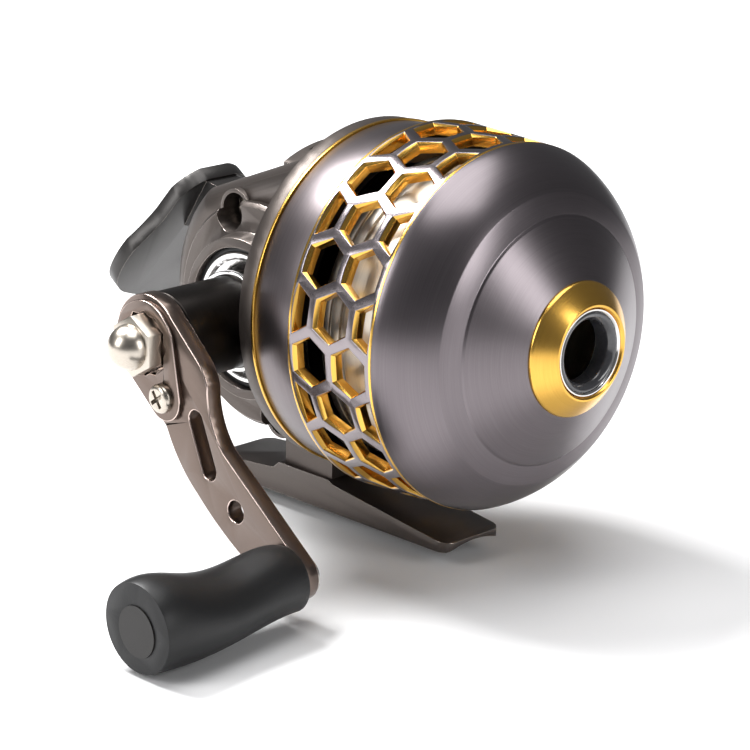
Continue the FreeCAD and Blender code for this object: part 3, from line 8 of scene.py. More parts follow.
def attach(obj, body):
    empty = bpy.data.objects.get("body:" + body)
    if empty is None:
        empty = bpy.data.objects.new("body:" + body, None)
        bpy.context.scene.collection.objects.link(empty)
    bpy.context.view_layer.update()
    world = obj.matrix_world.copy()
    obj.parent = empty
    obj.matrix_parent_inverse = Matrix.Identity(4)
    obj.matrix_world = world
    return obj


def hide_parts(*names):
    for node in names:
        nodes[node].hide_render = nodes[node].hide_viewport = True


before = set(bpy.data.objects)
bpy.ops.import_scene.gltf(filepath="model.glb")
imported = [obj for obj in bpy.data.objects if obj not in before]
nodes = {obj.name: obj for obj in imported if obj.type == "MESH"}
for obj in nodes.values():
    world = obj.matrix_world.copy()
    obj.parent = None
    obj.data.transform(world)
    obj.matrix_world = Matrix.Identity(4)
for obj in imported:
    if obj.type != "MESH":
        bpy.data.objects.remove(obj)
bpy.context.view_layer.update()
MM = 0.001

# ---------------------------------------------------------------- camera, floor and lights

# A long lens looks down at the reel from its front and crank side. The reel is shown over a
# plain pale floor. A key box high behind it throws its shadow forward, and soft boxes above and
# over each shoulder fill it in.
CAMERA_DISTANCE = 0.465
CAMERA_LENS = 135.5
CAMERA_ROLL = 0.536
FLOOR_LEVEL = -2.7
across = Vector((0.6959, 0.7181, 0.0))
upward = Vector((-0.2164, 0.2097, 0.9535))
roll = math.radians(CAMERA_ROLL)
right = (across * math.cos(roll) + upward * math.sin(roll)).normalized()
back = Vector((0.6848, -0.6635, 0.3014)).normalized()
up = back.cross(right).normalized()
eye = Vector((0.02304, -0.01709, 0.03249)) + back * CAMERA_DISTANCE
camera = bpy.data.objects.new("camera", bpy.data.cameras.new("camera"))
camera.matrix_world = Matrix((
    (right.x, up.x, back.x, eye.x),
    (right.y, up.y, back.y, eye.y),
    (right.z, up.z, back.z, eye.z),
    (0, 0, 0, 1),
))
camera.data.lens = CAMERA_LENS
camera.data.sensor_width = 36
camera.data.clip_start = 0.01
camera.data.clip_end = 20
bpy.context.collection.objects.link(camera)
bpy.context.scene.camera = camera
bpy.context.scene.view_settings.view_transform = "Standard"

floor_mesh = bmesh.new()
bmesh.ops.create_grid(floor_mesh, x_segments=1, y_segments=1, size=4.0,
                      matrix=Matrix.Translation((0, 0, FLOOR_LEVEL * MM)))
floor_data = bpy.data.meshes.new("floor")
floor_mesh.to_mesh(floor_data)
floor = bpy.data.objects.new("floor", floor_data)
bpy.context.collection.objects.link(floor)
paper = bpy.data.materials.new("pale paper")
paper.use_nodes = True
paper_shader = paper.node_tree.nodes["Principled BSDF"]
paper_shader.inputs["Base Color"].default_value = (0.86, 0.86, 0.865, 1)
paper_shader.inputs["Roughness"].default_value = 0.9
floor_data.materials.append(paper)


def soft_box(name, place, aim, width, height, power):
    """A rectangular area light that faces a point."""
    light = bpy.data.lights.new(name, "AREA")
    light.shape = "RECTANGLE"
    light.size = width
    light.size_y = height
    light.energy = power
    lamp = bpy.data.objects.new(name, light)
    lamp.location = place
    lamp.rotation_mode = "QUATERNION"
    lamp.rotation_quaternion = (Vector(aim) - Vector(place)).to_track_quat("-Z", "Y")
    bpy.context.collection.objects.link(lamp)


soft_box("overhead box", (0.05, 0.05, 0.85), (0.01, 0, 0.03), 0.7, 0.5, 4.5)
soft_box("left shoulder box", (-0.25, -0.75, 0.45), (0.02, 0, 0.03), 0.35, 0.5, 4)
soft_box("right shoulder box", (0.85, 0.15, 0.35), (0.02, 0, 0.04), 0.25, 0.55, 2.6)
soft_box("rear key box", (-0.45, -0.1, 0.7), (0, 0, 0.04), 0.34, 0.34, 11)
surround = bpy.data.worlds.new("studio")
surround.use_nodes = True
surround.node_tree.nodes["Background"].inputs["Color"].default_value = (0.78, 0.79, 0.82, 1)
surround.node_tree.nodes["Background"].inputs["Strength"].default_value = 0.16
bpy.context.scene.world = surround

# ---------------------------------------------------------------- front cover

# The front cover is turned from aluminium bar and anodised gunmetal. Fine lathe lines run round
# it, and it carries the nose ring in its small end. Its large end fits inside the honeycomb ring.
GUNMETAL = (0.205, 0.182, 0.193)
GUNMETAL_DARK = (0.15, 0.132, 0.14)
MAIN_AXIS = Matrix.Translation((0, 0, 40 * MM))
ROUNDING_STEPS = 3


def finished(name, shape, place, body, replaced, material, sharp=32):
    """Makes an object of a bmesh, put in its place in the reel's own frame, riding on a body."""
    bmesh.ops.remove_doubles(shape, verts=shape.verts, dist=1e-6)
    bmesh.ops.dissolve_degenerate(shape, edges=shape.edges, dist=1e-7)
    bmesh.ops.recalc_face_normals(shape, faces=shape.faces)
    bmesh.ops.transform(shape, matrix=place, verts=shape.verts)
    data = bpy.data.meshes.new(name)
    shape.to_mesh(data)
    shape.free()
    data.shade_smooth()
    data.set_sharp_from_angle(angle=math.radians(sharp))
    data.materials.append(material)
    piece = bpy.data.objects.new(name, data)
    bpy.context.collection.objects.link(piece)
    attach(piece, body)
    if replaced:
        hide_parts(*replaced)
    return piece


def lathe(outline, rounding, steps=240):
    """A closed outline of (along the axis, radius) in millimetres, its corners rounded, spun round X."""
    shape = bmesh.new()
    corners = [shape.verts.new((along * MM, 0, radius * MM)) for along, radius in outline]
    shape.faces.new(corners)
    sharp = []
    for index, corner in enumerate(corners):
        before = (corner.co - corners[index - 1].co).normalized()
        after = (corners[(index + 1) % len(corners)].co - corner.co).normalized()
        if before.dot(after) < 0.97 and corner.co.z > 0:
            sharp.append(corner)
    if rounding:
        bmesh.ops.bevel(shape, geom=sharp, offset=rounding * MM, offset_type="OFFSET",
                        segments=ROUNDING_STEPS,
                        profile=0.5, affect="VERTICES", clamp_overlap=True, material=-1)
    bmesh.ops.delete(shape, geom=shape.faces[:], context="FACES_ONLY")
    bmesh.ops.spin(shape, geom=shape.verts[:] + shape.edges[:], cent=(0, 0, 0), axis=(1, 0, 0),
                   angle=math.tau, steps=steps, use_merge=True)
    return shape


def node(tree, kind, place, **settings):
    """Adds a shader node at a place in the editor, with its settings."""
    made = tree.nodes.new(kind)
    made.location = place
    for name, value in settings.items():
        setattr(made, name, value)
    return made


def group_socket(tree, name, direction, kind="NodeSocketFloat", value=None):
    made = tree.interface.new_socket(name, in_out=direction, socket_type=kind)
    if value is not None:
        made.default_value = value


# lathe lines: thin rings of light and dark round the X axis, broken up a little along each ring
lathe_lines = bpy.data.node_groups.new("lathe lines", "ShaderNodeTree")
group_socket(lathe_lines, "Point", "INPUT", "NodeSocketVector")
group_socket(lathe_lines, "Fineness", "INPUT", value=9000.0)
group_socket(lathe_lines, "Lines", "OUTPUT")
group_socket(lathe_lines, "Cloud", "OUTPUT")
inlet = node(lathe_lines, "NodeGroupInput", (-900, 0))
apart = node(lathe_lines, "ShaderNodeSeparateXYZ", (-720, 0))
lathe_lines.links.new(inlet.outputs["Point"], apart.inputs[0])
turn = node(lathe_lines, "ShaderNodeMath", (-540, -180), operation="ARCTAN2")
lathe_lines.links.new(apart.outputs["Y"], turn.inputs[0])
lathe_lines.links.new(apart.outputs["Z"], turn.inputs[1])
squares = []
for side in ("Y", "Z"):
    square = node(lathe_lines, "ShaderNodeMath", (-540, 100 if side == "Y" else 260), operation="MULTIPLY")
    lathe_lines.links.new(apart.outputs[side], square.inputs[0])
    lathe_lines.links.new(apart.outputs[side], square.inputs[1])
    squares.append(square)
total = node(lathe_lines, "ShaderNodeMath", (-380, 180), operation="ADD")
lathe_lines.links.new(squares[0].outputs[0], total.inputs[0])
lathe_lines.links.new(squares[1].outputs[0], total.inputs[1])
reach = node(lathe_lines, "ShaderNodeMath", (-240, 180), operation="SQRT")
lathe_lines.links.new(total.outputs[0], reach.inputs[0])
fine_x = node(lathe_lines, "ShaderNodeMath", (-100, 60), operation="MULTIPLY")
lathe_lines.links.new(apart.outputs["X"], fine_x.inputs[0])
lathe_lines.links.new(inlet.outputs["Fineness"], fine_x.inputs[1])
fine_r = node(lathe_lines, "ShaderNodeMath", (-100, 220), operation="MULTIPLY")
lathe_lines.links.new(reach.outputs[0], fine_r.inputs[0])
lathe_lines.links.new(inlet.outputs["Fineness"], fine_r.inputs[1])
slow_turn = node(lathe_lines, "ShaderNodeMath", (-240, -180), operation="MULTIPLY")
slow_turn.inputs[1].default_value = 1.6
lathe_lines.links.new(turn.outputs[0], slow_turn.inputs[0])
ring_point = node(lathe_lines, "ShaderNodeCombineXYZ", (60, 60))
lathe_lines.links.new(fine_x.outputs[0], ring_point.inputs["X"])
lathe_lines.links.new(fine_r.outputs[0], ring_point.inputs["Y"])
lathe_lines.links.new(slow_turn.outputs[0], ring_point.inputs["Z"])
rings = node(lathe_lines, "ShaderNodeTexNoise", (220, 60))
rings.inputs["Scale"].default_value = 1.0
rings.inputs["Detail"].default_value = 2.0
lathe_lines.links.new(ring_point.outputs[0], rings.inputs["Vector"])
cloud = node(lathe_lines, "ShaderNodeTexNoise", (220, -220))
cloud.inputs["Scale"].default_value = 60.0
cloud.inputs["Detail"].default_value = 3.0
lathe_lines.links.new(inlet.outputs["Point"], cloud.inputs["Vector"])
outlet = node(lathe_lines, "NodeGroupOutput", (440, 0))
lathe_lines.links.new(rings.outputs["Fac"], outlet.inputs["Lines"])
lathe_lines.links.new(cloud.outputs["Fac"], outlet.inputs["Cloud"])


def turned_metal(name, light, dark, rough, spread, centre, turn_to_x=(0, 0, 0), fineness=9000.0, depth=0.05,
                 metallic=1.0, coat=0.0):
    """Metal with lathe lines round an axis: its colour and its roughness both follow the lines."""
    material = bpy.data.materials.new(name)
    material.use_nodes = True
    tree = material.node_tree
    shader = tree.nodes["Principled BSDF"]
    shader.inputs["Metallic"].default_value = metallic
    shader.inputs["Coat Weight"].default_value = coat
    where = node(tree, "ShaderNodeTexCoord", (-1100, 0))
    shift = node(tree, "ShaderNodeMapping", (-920, 0), vector_type="TEXTURE")
    shift.inputs["Location"].default_value = centre
    shift.inputs["Rotation"].default_value = turn_to_x
    tree.links.new(where.outputs["Object"], shift.inputs["Vector"])
    lines = node(tree, "ShaderNodeGroup", (-720, 0), node_tree=lathe_lines)
    lines.inputs["Fineness"].default_value = fineness
    tree.links.new(shift.outputs[0], lines.inputs["Point"])
    colours = node(tree, "ShaderNodeMix", (-440, 160), data_type="RGBA")
    colours.inputs["A"].default_value = (*dark, 1)
    colours.inputs["B"].default_value = (*light, 1)
    tree.links.new(lines.outputs["Lines"], colours.inputs["Factor"])
    tree.links.new(colours.outputs["Result"], shader.inputs["Base Color"])
    sheen = node(tree, "ShaderNodeMapRange", (-440, -80))
    sheen.inputs["To Min"].default_value = rough - spread
    sheen.inputs["To Max"].default_value = rough + spread
    tree.links.new(lines.outputs["Cloud"], sheen.inputs["Value"])
    tree.links.new(sheen.outputs["Result"], shader.inputs["Roughness"])
    relief = node(tree, "ShaderNodeBump", (-240, -260))
    relief.inputs["Strength"].default_value = 1.0
    relief.inputs["Distance"].default_value = depth * MM
    tree.links.new(lines.outputs["Lines"], relief.inputs["Height"])
    tree.links.new(relief.outputs["Normal"], shader.inputs["Normal"])
    return material


def tint_along(material, start, stop, colour):
    """Lays another colour over a turned metal between two places along its axis, in millimetres."""
    tree = material.node_tree
    base = tree.nodes["Principled BSDF"].inputs["Base Color"]
    under = base.links[0].from_socket
    shift = next(n for n in tree.nodes if n.bl_idname == "ShaderNodeMapping")
    apart = node(tree, "ShaderNodeSeparateXYZ", (-260, 520))
    tree.links.new(shift.outputs[0], apart.inputs[0])
    inside = node(tree, "ShaderNodeMath", (-80, 520), operation="COMPARE")
    inside.inputs[1].default_value = (start + stop) / 2 * MM
    inside.inputs[2].default_value = (stop - start) / 2 * MM
    tree.links.new(apart.outputs["X"], inside.inputs[0])
    over = node(tree, "ShaderNodeMix", (100, 420), data_type="RGBA")
    over.inputs["B"].default_value = (*colour, 1)
    tree.links.new(inside.outputs[0], over.inputs["Factor"])
    tree.links.new(under, over.inputs["A"])
    tree.links.new(over.outputs["Result"], base)


MAIN_CENTRE = (0, 0, 40 * MM)
cover_metal = turned_metal("turned gunmetal", GUNMETAL, GUNMETAL_DARK, 0.3, 0.05, MAIN_CENTRE, depth=0.004)
cover_outline = [
    (36.3, 31.0), (37.42, 30.51), (38.51, 29.95), (39.57, 29.33), (40.59, 28.66), (41.57, 27.93),
    (42.51, 27.15), (43.41, 26.31), (44.25, 25.43), (45.05, 24.5), (46.35, 21.2), (46.4, 20.9),
    (46.75, 20.6), (51.9, 11.3), (51.9, 9.0), (50.0, 9.0), (50.0, 10.9),
    (45.0, 20.4), (43.5, 23.5), (37.3, 28.0), (35.3, 28.0), (35.3, 28.9), (36.3, 28.9),
]
finished("turned_cover", lathe(cover_outline, 0.15), MAIN_AXIS, "reel_body", ["front_cover"],
         cover_metal, sharp=24)

# ---------------------------------------------------------------- nose ring, insert and line guide

# A gold anodised ring is screwed into the cover's small end. It has a bright bevel at its base and
# its lip, holds a polished insert, and the insert holds the dark ceramic ring the line runs over.
GOLD = (0.86, 0.52, 0.115)
GOLD_DARK = (0.70, 0.385, 0.07)
gold_metal = turned_metal("turned gold", GOLD, GOLD_DARK, 0.24, 0.05, MAIN_CENTRE, fineness=7000.0,
                          depth=0.003)
nose_outline = [
    (49.4, 7.2), (54.6, 7.2), (55.3, 7.6), (55.3, 8.0), (52.7, 11.1), (52.35, 11.3), (51.9, 11.3),
    (51.9, 9.0), (49.4, 9.0),
]
finished("gold_nose_ring", lathe(nose_outline, 0.12), MAIN_AXIS, "reel_body", ["nose_ring"],
         gold_metal, sharp=24)

POLISHED = (0.83, 0.82, 0.81)
POLISHED_DARK = (0.66, 0.65, 0.64)
bright_metal = turned_metal("polished insert metal", POLISHED, POLISHED_DARK, 0.12, 0.03, MAIN_CENTRE,
                            fineness=6000.0, depth=0.001)
insert_outline = [(50.1, 6.7), (54.7, 6.7), (55.0, 6.95), (55.0, 7.2), (50.1, 7.2)]
finished("polished_nose_insert", lathe(insert_outline, 0.05), MAIN_AXIS, "reel_body", ["nose_insert"],
         bright_metal, sharp=30)


def moulded(name, light, dark, rough, spread, grain_size, depth, metallic=0.0, coat=0.0, specular=0.5):
    """A plain finish with a fine grain: paint, rubber, plastic, ceramic or a blasted casting."""
    material = bpy.data.materials.new(name)
    material.use_nodes = True
    tree = material.node_tree
    shader = tree.nodes["Principled BSDF"]
    shader.inputs["Metallic"].default_value = metallic
    shader.inputs["Coat Weight"].default_value = coat
    shader.inputs["Coat Roughness"].default_value = 0.15
    shader.inputs["Specular IOR Level"].default_value = specular
    where = node(tree, "ShaderNodeTexCoord", (-1100, 0))
    grain = node(tree, "ShaderNodeTexNoise", (-820, 60))
    grain.inputs["Scale"].default_value = 1.0 / (grain_size * MM)
    grain.inputs["Detail"].default_value = 3.0
    tree.links.new(where.outputs["Object"], grain.inputs["Vector"])
    patches = node(tree, "ShaderNodeTexNoise", (-820, -220))
    patches.inputs["Scale"].default_value = 90.0
    patches.inputs["Detail"].default_value = 4.0
    tree.links.new(where.outputs["Object"], patches.inputs["Vector"])
    colours = node(tree, "ShaderNodeMix", (-440, 160), data_type="RGBA")
    colours.inputs["A"].default_value = (*dark, 1)
    colours.inputs["B"].default_value = (*light, 1)
    tree.links.new(grain.outputs["Fac"], colours.inputs["Factor"])
    tree.links.new(colours.outputs["Result"], shader.inputs["Base Color"])
    sheen = node(tree, "ShaderNodeMapRange", (-440, -80))
    sheen.inputs["To Min"].default_value = rough - spread
    sheen.inputs["To Max"].default_value = rough + spread
    tree.links.new(patches.outputs["Fac"], sheen.inputs["Value"])
    tree.links.new(sheen.outputs["Result"], shader.inputs["Roughness"])
    relief = node(tree, "ShaderNodeBump", (-240, -260))
    relief.inputs["Distance"].default_value = depth * MM
    tree.links.new(grain.outputs["Fac"], relief.inputs["Height"])
    tree.links.new(relief.outputs["Normal"], shader.inputs["Normal"])
    return material


ceramic = moulded("dark ceramic", (0.05, 0.05, 0.055), (0.03, 0.03, 0.034), 0.12, 0.03, 0.5, 0.001, coat=0.6)
guide_outline = [(50.4, 6.05), (51.2, 5.25), (54.0, 5.25), (54.8, 6.05), (54.8, 6.7), (50.4, 6.7)]
finished("ceramic_line_guide", lathe(guide_outline, 0.3), MAIN_AXIS, "reel_body", ["line_guide"],
         ceramic, sharp=40)

# ---------------------------------------------------------------- honeycomb ring

# The honeycomb ring is one aluminium tube, anodised gold and then turned again, so that the gold
# stays on the chamfers, walls and rims while the outer face shows the same gunmetal as the cover.
CAGE_REAR = 17.8 * MM
CAGE_REAR_RADIUS = 31.8 * MM
CAGE_TAPER = (31.8 - 31.0) / 18.5
cage_metal = turned_metal("honeycomb gold and gunmetal", GOLD, GOLD_DARK, 0.22, 0.05, MAIN_CENTRE,
                          fineness=5000.0, depth=0.003)
tree = cage_metal.node_tree
shader = tree.nodes["Principled BSDF"]
gold_colour = next(n for n in tree.nodes if n.bl_idname == "ShaderNodeMix")
where = next(n for n in tree.nodes if n.bl_idname == "ShaderNodeMapping")
apart = node(tree, "ShaderNodeSeparateXYZ", (-720, 500))
tree.links.new(where.outputs[0], apart.inputs[0])
flat = node(tree, "ShaderNodeCombineXYZ", (-560, 500))
tree.links.new(apart.outputs["Y"], flat.inputs["Y"])
tree.links.new(apart.outputs["Z"], flat.inputs["Z"])
radius = node(tree, "ShaderNodeVectorMath", (-400, 500), operation="LENGTH")
tree.links.new(flat.outputs[0], radius.inputs[0])
taper = node(tree, "ShaderNodeMath", (-400, 680), operation="MULTIPLY_ADD")
taper.inputs[1].default_value = CAGE_TAPER
taper.inputs[2].default_value = -CAGE_REAR_RADIUS - CAGE_REAR * CAGE_TAPER
tree.links.new(apart.outputs["X"], taper.inputs[0])
height = node(tree, "ShaderNodeMath", (-240, 560), operation="ADD")
tree.links.new(radius.outputs["Value"], height.inputs[0])
tree.links.new(taper.outputs[0], height.inputs[1])
outer_face = node(tree, "ShaderNodeMapRange", (-80, 560))
outer_face.inputs["From Min"].default_value = -0.11 * MM
outer_face.inputs["From Max"].default_value = -0.06 * MM
tree.links.new(height.outputs[0], outer_face.inputs["Value"])
top_colour = node(tree, "ShaderNodeMix", (80, 300), data_type="RGBA")
top_colour.inputs["B"].default_value = (0.27, 0.24, 0.25, 1)
tree.links.new(outer_face.outputs["Result"], top_colour.inputs["Factor"])
tree.links.new(gold_colour.outputs["Result"], top_colour.inputs["A"])
tree.links.new(top_colour.outputs["Result"], shader.inputs["Base Color"])
tint_along(cage_metal, 17.0, 18.25, GOLD)
tint_along(cage_metal, 35.85, 36.6, GOLD)


def softened_copy(name, source, body, material, width, edge_material=None, angle=28, segments=2,
                  flatness=1.0):
    """A copy of a CAD piece with its loose triangles merged into faces and its edges broken."""
    shape = bmesh.new()
    shape.from_mesh(nodes[source].data)
    bmesh.ops.transform(shape, matrix=nodes[source].matrix_world, verts=shape.verts)
    bmesh.ops.remove_doubles(shape, verts=shape.verts, dist=2e-6)
    bmesh.ops.dissolve_degenerate(shape, edges=shape.edges, dist=1e-6)
    bmesh.ops.dissolve_limit(shape, angle_limit=math.radians(flatness), verts=shape.verts, edges=shape.edges)
    data = bpy.data.meshes.new(name)
    shape.to_mesh(data)
    shape.free()
    data.shade_smooth()
    data.materials.append(material)
    if edge_material:
        data.materials.append(edge_material)
    piece = bpy.data.objects.new(name, data)
    bpy.context.collection.objects.link(piece)
    broken = piece.modifiers.new("broken edges", "BEVEL")
    broken.width = width * MM
    broken.segments = segments
    broken.limit_method = "ANGLE"
    broken.angle_limit = math.radians(angle)
    broken.use_clamp_overlap = True
    broken.harden_normals = True
    broken.miter_outer = "MITER_ARC"
    if edge_material:
        broken.material = 1
    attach(piece, body)
    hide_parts(source)
    return piece


softened_copy("honeycomb_ring", "honeycomb_cage", "reel_body", cage_metal, 0.2, angle=24,
              segments=3)

# ---------------------------------------------------------------- rear band and trim ring

# The rear band is turned and brushed like the cover and is pushed over the spigot of the housing.
# A thin gold ring is trapped between the band and the cast flange.
band_metal_with_painted_shade = turned_metal("brushed band metal, painted groove shade", (0.21, 0.185, 0.19), (0.14, 0.122, 0.128), 0.32, 0.05,
                          MAIN_CENTRE,
                          fineness=12000.0, depth=0.004)
# Painted shade: from 16.78 to 18.9 mm along the axis, the groove and spigot under the honeycomb ring's rim are
# coloured near black for the shadow in the groove.
tint_along(band_metal_with_painted_shade, 16.78, 18.9, (0.006, 0.006, 0.006))
band_outline = [
    (7.7, 29.9), (16.8, 30.6), (16.8, 30.0), (17.8, 30.0), (17.8, 29.7), (18.8, 29.7), (18.8, 28.2), (7.7,
     28.2),
]
finished("brushed_rear_band", lathe(band_outline, 0.12), MAIN_AXIS, "reel_body", ["rear_band"],
         band_metal_with_painted_shade, sharp=24)
finished("gold_trim_ring", lathe([(7.1, 28.2), (7.7, 28.2), (7.7, 30.3), (7.1, 30.3)], 0.1), MAIN_AXIS,
         "reel_body", ["trim_ring"], gold_metal, sharp=24)

# ---------------------------------------------------------------- spinner head

# The spinner head is a nickel-plated cup that winds the line. It shows through the honeycomb: a
# front half with turned grooves, its nickel painted lighter than plain plate as a painted highlight,
# and a rear skirt painted greyer as painted shade. The pickup pin stands out of it.
# Painted highlight: this nickel is far lighter than the plated nickel of the nut and screws, standing in for
# light inside the cage.
NICKEL_PAINTED_LIGHTER = (0.86, 0.80, 0.71)
NICKEL_DARK_PAINTED_LIGHTER = (0.66, 0.60, 0.52)
head_nickel_painted_light = turned_metal("turned nickel, painted highlight and shade", NICKEL_PAINTED_LIGHTER, NICKEL_DARK_PAINTED_LIGHTER, 0.38, 0.06, MAIN_CENTRE,
                          fineness=5200.0, depth=0.006)
# Painted shade: the rear skirt, 19.0 to 24.2 mm along the axis, is coloured greyer for the shade inside the
# honeycomb ring.
tint_along(head_nickel_painted_light, 19.0, 24.2, (0.40, 0.365, 0.325))
head_outline = [
    (19.5, 24.8), (19.5, 26.0), (21.2, 26.0), (21.2, 25.5), (21.8, 25.5), (21.8, 26.0), (23.7, 26.0),
    (23.7, 25.5), (24.7, 25.5), (24.7, 26.0), (31.4, 26.0), (31.6, 25.75), (31.8, 26.0), (33.4, 26.0),
    (33.6, 25.75), (33.8, 26.0), (35.3, 26.0), (35.3, 25.4), (35.9, 25.4), (38.9, 22.4), (38.9, 6.0),
    (39.3, 5.0), (39.3, 1.2), (34.9, 1.2), (34.9, 5.0), (37.7, 5.0), (37.7, 22.4), (35.5, 24.8),
]
finished("nickel_spinner_head", lathe(head_outline, 0.1), MAIN_AXIS, "rotor", ["spinner_head"],
         head_nickel_painted_light, sharp=24)

# ---------------------------------------------------------------- cast housing, covers and foot

# The housing is a zinc die casting with a blasted, satin grey-brown coat. The two side plates, the
# foot and the stem have the same coat, and their machined pockets and edges are left bright; the
# bright metal colour on their broken edges is also a painted highlight.
COAT = (0.112, 0.095, 0.086)
COAT_DARK = (0.082, 0.069, 0.062)
cast_coat = moulded("satin cast coat", COAT, COAT_DARK, 0.4, 0.06, 0.16, 0.012, metallic=0.85)
# Bright metal laid on the bevel faces of broken edges: partly machined edges, partly a painted highlight along
# each edge.
machined_edge_and_painted_highlight = moulded("machined edge and painted highlight", (0.56, 0.5, 0.46), (0.42, 0.37, 0.335), 0.24, 0.06, 0.2, 0.004,
                    metallic=1.0)
softened_copy("cast_housing", "body_housing", "reel_body", cast_coat, 0.25, machined_edge_and_painted_highlight)
softened_copy("cast_far_cover", "far_side_cover", "reel_body", cast_coat, 0.3)
softened_copy("cast_crank_plate", "crank_side_plate", "reel_body", cast_coat, 0.22, machined_edge_and_painted_highlight)
softened_copy("cast_foot", "reel_foot", "reel_body", cast_coat, 0.25, machined_edge_and_painted_highlight)

# ---------------------------------------------------------------- seal, collar, sleeve and base ring

# In the crank boss a black seal and a polished collar surround the sleeve. The sleeve is dark
# anodised aluminium with a bright ring at its foot, pinned to the crankshaft.
CRANK_AXIS = Matrix.Translation((-5 * MM, 0, 36.9 * MM)) @ Matrix.Rotation(-math.pi / 2, 4, "Z")
CRANK_CENTRE = (-5 * MM, 0, 36.9 * MM)
CRANK_TURN = (0, 0, -math.pi / 2)
crank_bright = turned_metal("polished collar metal", POLISHED, POLISHED_DARK, 0.1, 0.03, CRANK_CENTRE,
                            CRANK_TURN,
                            fineness=6000.0, depth=0.001)
sleeve_metal = turned_metal("dark sleeve metal", (0.030, 0.026, 0.024), (0.018, 0.016, 0.015), 0.32, 0.06,
                            CRANK_CENTRE, CRANK_TURN, fineness=9000.0, depth=0.004)
finished("polished_base_ring", lathe([(22.9, 7.9), (24.1, 7.9), (24.1, 8.7), (22.9, 8.7)], 0.2), CRANK_AXIS,
         "crank", ["sleeve_base_ring"], crank_bright, sharp=30)
finished("dark_crank_sleeve", lathe([(20.1, 3.0), (39.2, 3.0), (39.2, 7.3), (38.6, 7.9), (20.1, 7.9)], 0.1),
         CRANK_AXIS, "crank", ["crank_sleeve"], sleeve_metal, sharp=24)
rubber = moulded("black rubber", (0.010, 0.010, 0.0105), (0.006, 0.006, 0.0065), 0.42, 0.08, 0.25, 0.012,
                 specular=0.3)
softened_copy("rubber_dust_seal", "dust_seal", "reel_body", rubber, 0.15)
softened_copy("polished_boss_collar", "boss_collar", "reel_body", crank_bright, 0.12)

# ---------------------------------------------------------------- crank arm, retainer, nut and screw

# The arm is cut from aluminium plate, anodised bronze, and its edges are chamfered bright; the bright
# chamfer colour is also a painted highlight. A thin retainer plate with a twelve-point hole stops the
# acorn nut, held by one cross-head screw.
bronze = moulded("bronze anodised plate", (0.172, 0.134, 0.115), (0.137, 0.105, 0.09), 0.3, 0.05, 0.12,
                 0.004, metallic=1.0)
# Bright bronze on the bevel faces: partly the real chamfer, partly a painted highlight along each edge.
bronze_chamfer_and_painted_highlight = moulded("bright bronze chamfer and painted highlight", (0.72, 0.585, 0.53), (0.58, 0.46, 0.41), 0.2, 0.05, 0.2,
                        0.003, metallic=1.0)
softened_copy("bronze_crank_arm", "crank_arm", "crank", bronze, 0.18, bronze_chamfer_and_painted_highlight)
softened_copy("bronze_retainer_plate", "retainer_plate", "crank", bronze, 0.14,
              bronze_chamfer_and_painted_highlight)
plated = moulded("nickel plate", (0.56, 0.51, 0.445), (0.48, 0.43, 0.37), 0.28, 0.05, 0.3, 0.002,
                 metallic=1.0)
ARM_FACE = 42.2
NUT_CORNER = 9.2 / math.sqrt(3)
NUT_HEIGHT = 3.6
DOME_RADIUS = 3.864
DOME_CENTRE = ARM_FACE + 7.6 - DOME_RADIUS
dome_outline = [(ARM_FACE + NUT_HEIGHT - 0.4, 0), (ARM_FACE + NUT_HEIGHT - 0.4, DOME_RADIUS)]
for step in range(13):
    angle = math.pi / 2 * step / 12
    dome_outline.append((DOME_CENTRE + DOME_RADIUS * math.sin(angle), DOME_RADIUS * math.cos(angle)))
nut_shape = lathe(dome_outline, 0, steps=96)
hexagon = bmesh.ops.create_cone(
    nut_shape, cap_ends=True, segments=6, radius1=NUT_CORNER * MM, radius2=NUT_CORNER * MM, depth=NUT_HEIGHT * MM,
    matrix=Matrix.Translation(((ARM_FACE + NUT_HEIGHT / 2) * MM, 0, 0)) @ Matrix.Rotation(math.pi / 2, 4, "X")
    @ Matrix.Rotation(math.pi / 2, 4, "Y"))
hexagon_edges = {edge for corner in hexagon["verts"] for edge in corner.link_edges}
bmesh.ops.bevel(nut_shape, geom=list(hexagon_edges), offset=0.2 * MM, offset_type="OFFSET", segments=2,
                profile=0.5, affect="EDGES", clamp_overlap=True, material=-1)
finished("plated_acorn_nut", nut_shape, CRANK_AXIS, "crank", ["acorn_nut"], plated, sharp=30)
softened_copy("plated_retainer_screw", "retainer_screw", "crank", plated, 0.08)
softened_copy("plated_side_screws", "side_plate_screws", "reel_body", plated, 0.08)
softened_copy("plated_far_screws", "far_cover_screws", "reel_body", plated, 0.08)
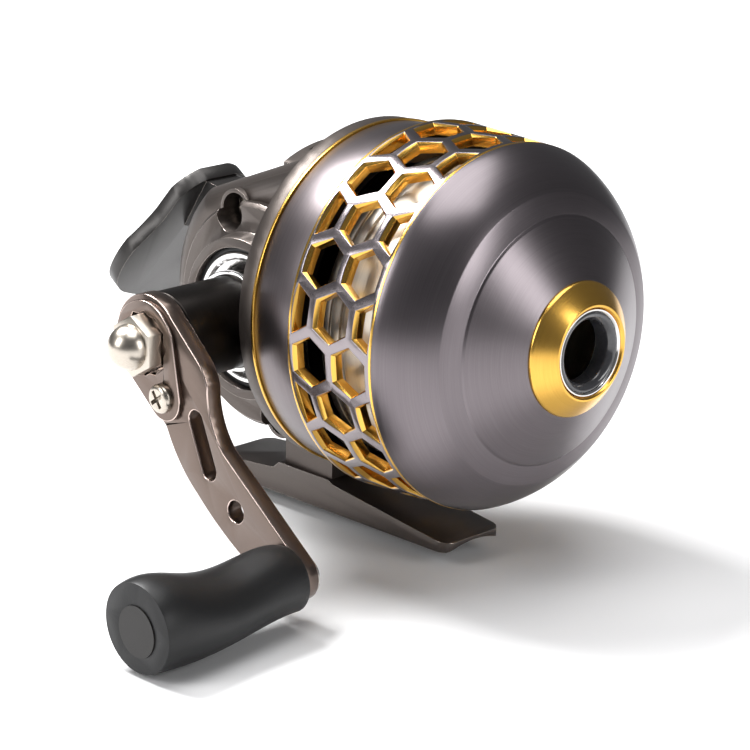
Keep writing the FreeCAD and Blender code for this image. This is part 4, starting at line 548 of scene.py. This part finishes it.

# ---------------------------------------------------------------- thumb lever

# The thumb lever is a graphite-coated casting: a broad paddle on a narrow neck, with a brushed
# lighter bevel round its edge whose light colour is also a painted highlight. It turns on a steel pin through the
# case.
graphite = moulded("graphite coat", (0.055, 0.052, 0.050), (0.036, 0.034, 0.033), 0.36, 0.06, 0.15, 0.01,
                   metallic=0.7)
softened_copy("graphite_thumb_lever", "thumb_lever", "lever", graphite, 0.5, machined_edge_and_painted_highlight)

# ---------------------------------------------------------------- knob

# The knob is moulded in black rubber over a plastic core and turns on the spindle. A dark cap
# closes its outer end.
softened_copy("rubber_knob", "handle_knob", "knob", rubber, 0.8, segments=3)
cap_plastic = moulded("dark cap plastic", (0.022, 0.020, 0.019), (0.014, 0.013, 0.012), 0.42, 0.06, 0.3,
                      0.008,
                      specular=0.3)

# ---------------------------------------------------------------- drag dial and inner pieces

# The dial is a black moulding on a steel screw. The bearings, clutch, clips and shafts are ground
# steel, the gears and bushing brass, and the spool and its hub dark anodised aluminium.
dial_plastic = moulded("black dial plastic", (0.035, 0.034, 0.033), (0.022, 0.022, 0.021), 0.45, 0.06, 0.3,
                       0.01)
ground_steel = moulded("ground steel", (0.6, 0.59, 0.57), (0.5, 0.49, 0.47), 0.26, 0.06, 0.1, 0.003,
                       metallic=1.0)
machined_brass = moulded("machined brass", (0.72, 0.55, 0.28), (0.6, 0.44, 0.2), 0.28, 0.06, 0.12, 0.004,
                         metallic=1.0)
dark_spool = moulded("dark anodised spool", (0.06, 0.06, 0.062), (0.04, 0.04, 0.042), 0.34, 0.05, 0.15,
                     0.004, metallic=1.0)
washer_fibre = moulded("fibre washer", (0.1, 0.08, 0.06), (0.07, 0.055, 0.04), 0.8, 0.08, 0.2, 0.02)
inner_finishes = {
    cap_plastic: ["knob_cap"],
    dial_plastic: ["drag_dial", "thrust_cap"],
    plated: ["foot_screws", "spinner_nut"],
    ground_steel: [
        "pinion_bearing", "one_way_clutch", "hub_clip", "drag_pressure_plate", "crank_bearing", "lever_pin",
        "crankshaft", "gear_clip", "knob_spindle", "shaft_spring", "centre_shaft", "shaft_clip", "pin_spring",
        "pickup_pin", "drag_screw",
    ],
    machined_brass: ["pinion_gear", "drive_gear", "crank_bushing"],
    dark_spool: ["spool", "spool_hub"],
    washer_fibre: ["drag_washer"],
}
for material, names in inner_finishes.items():
    for name in names:
        for place in nodes[name].material_slots:
            place.material = material
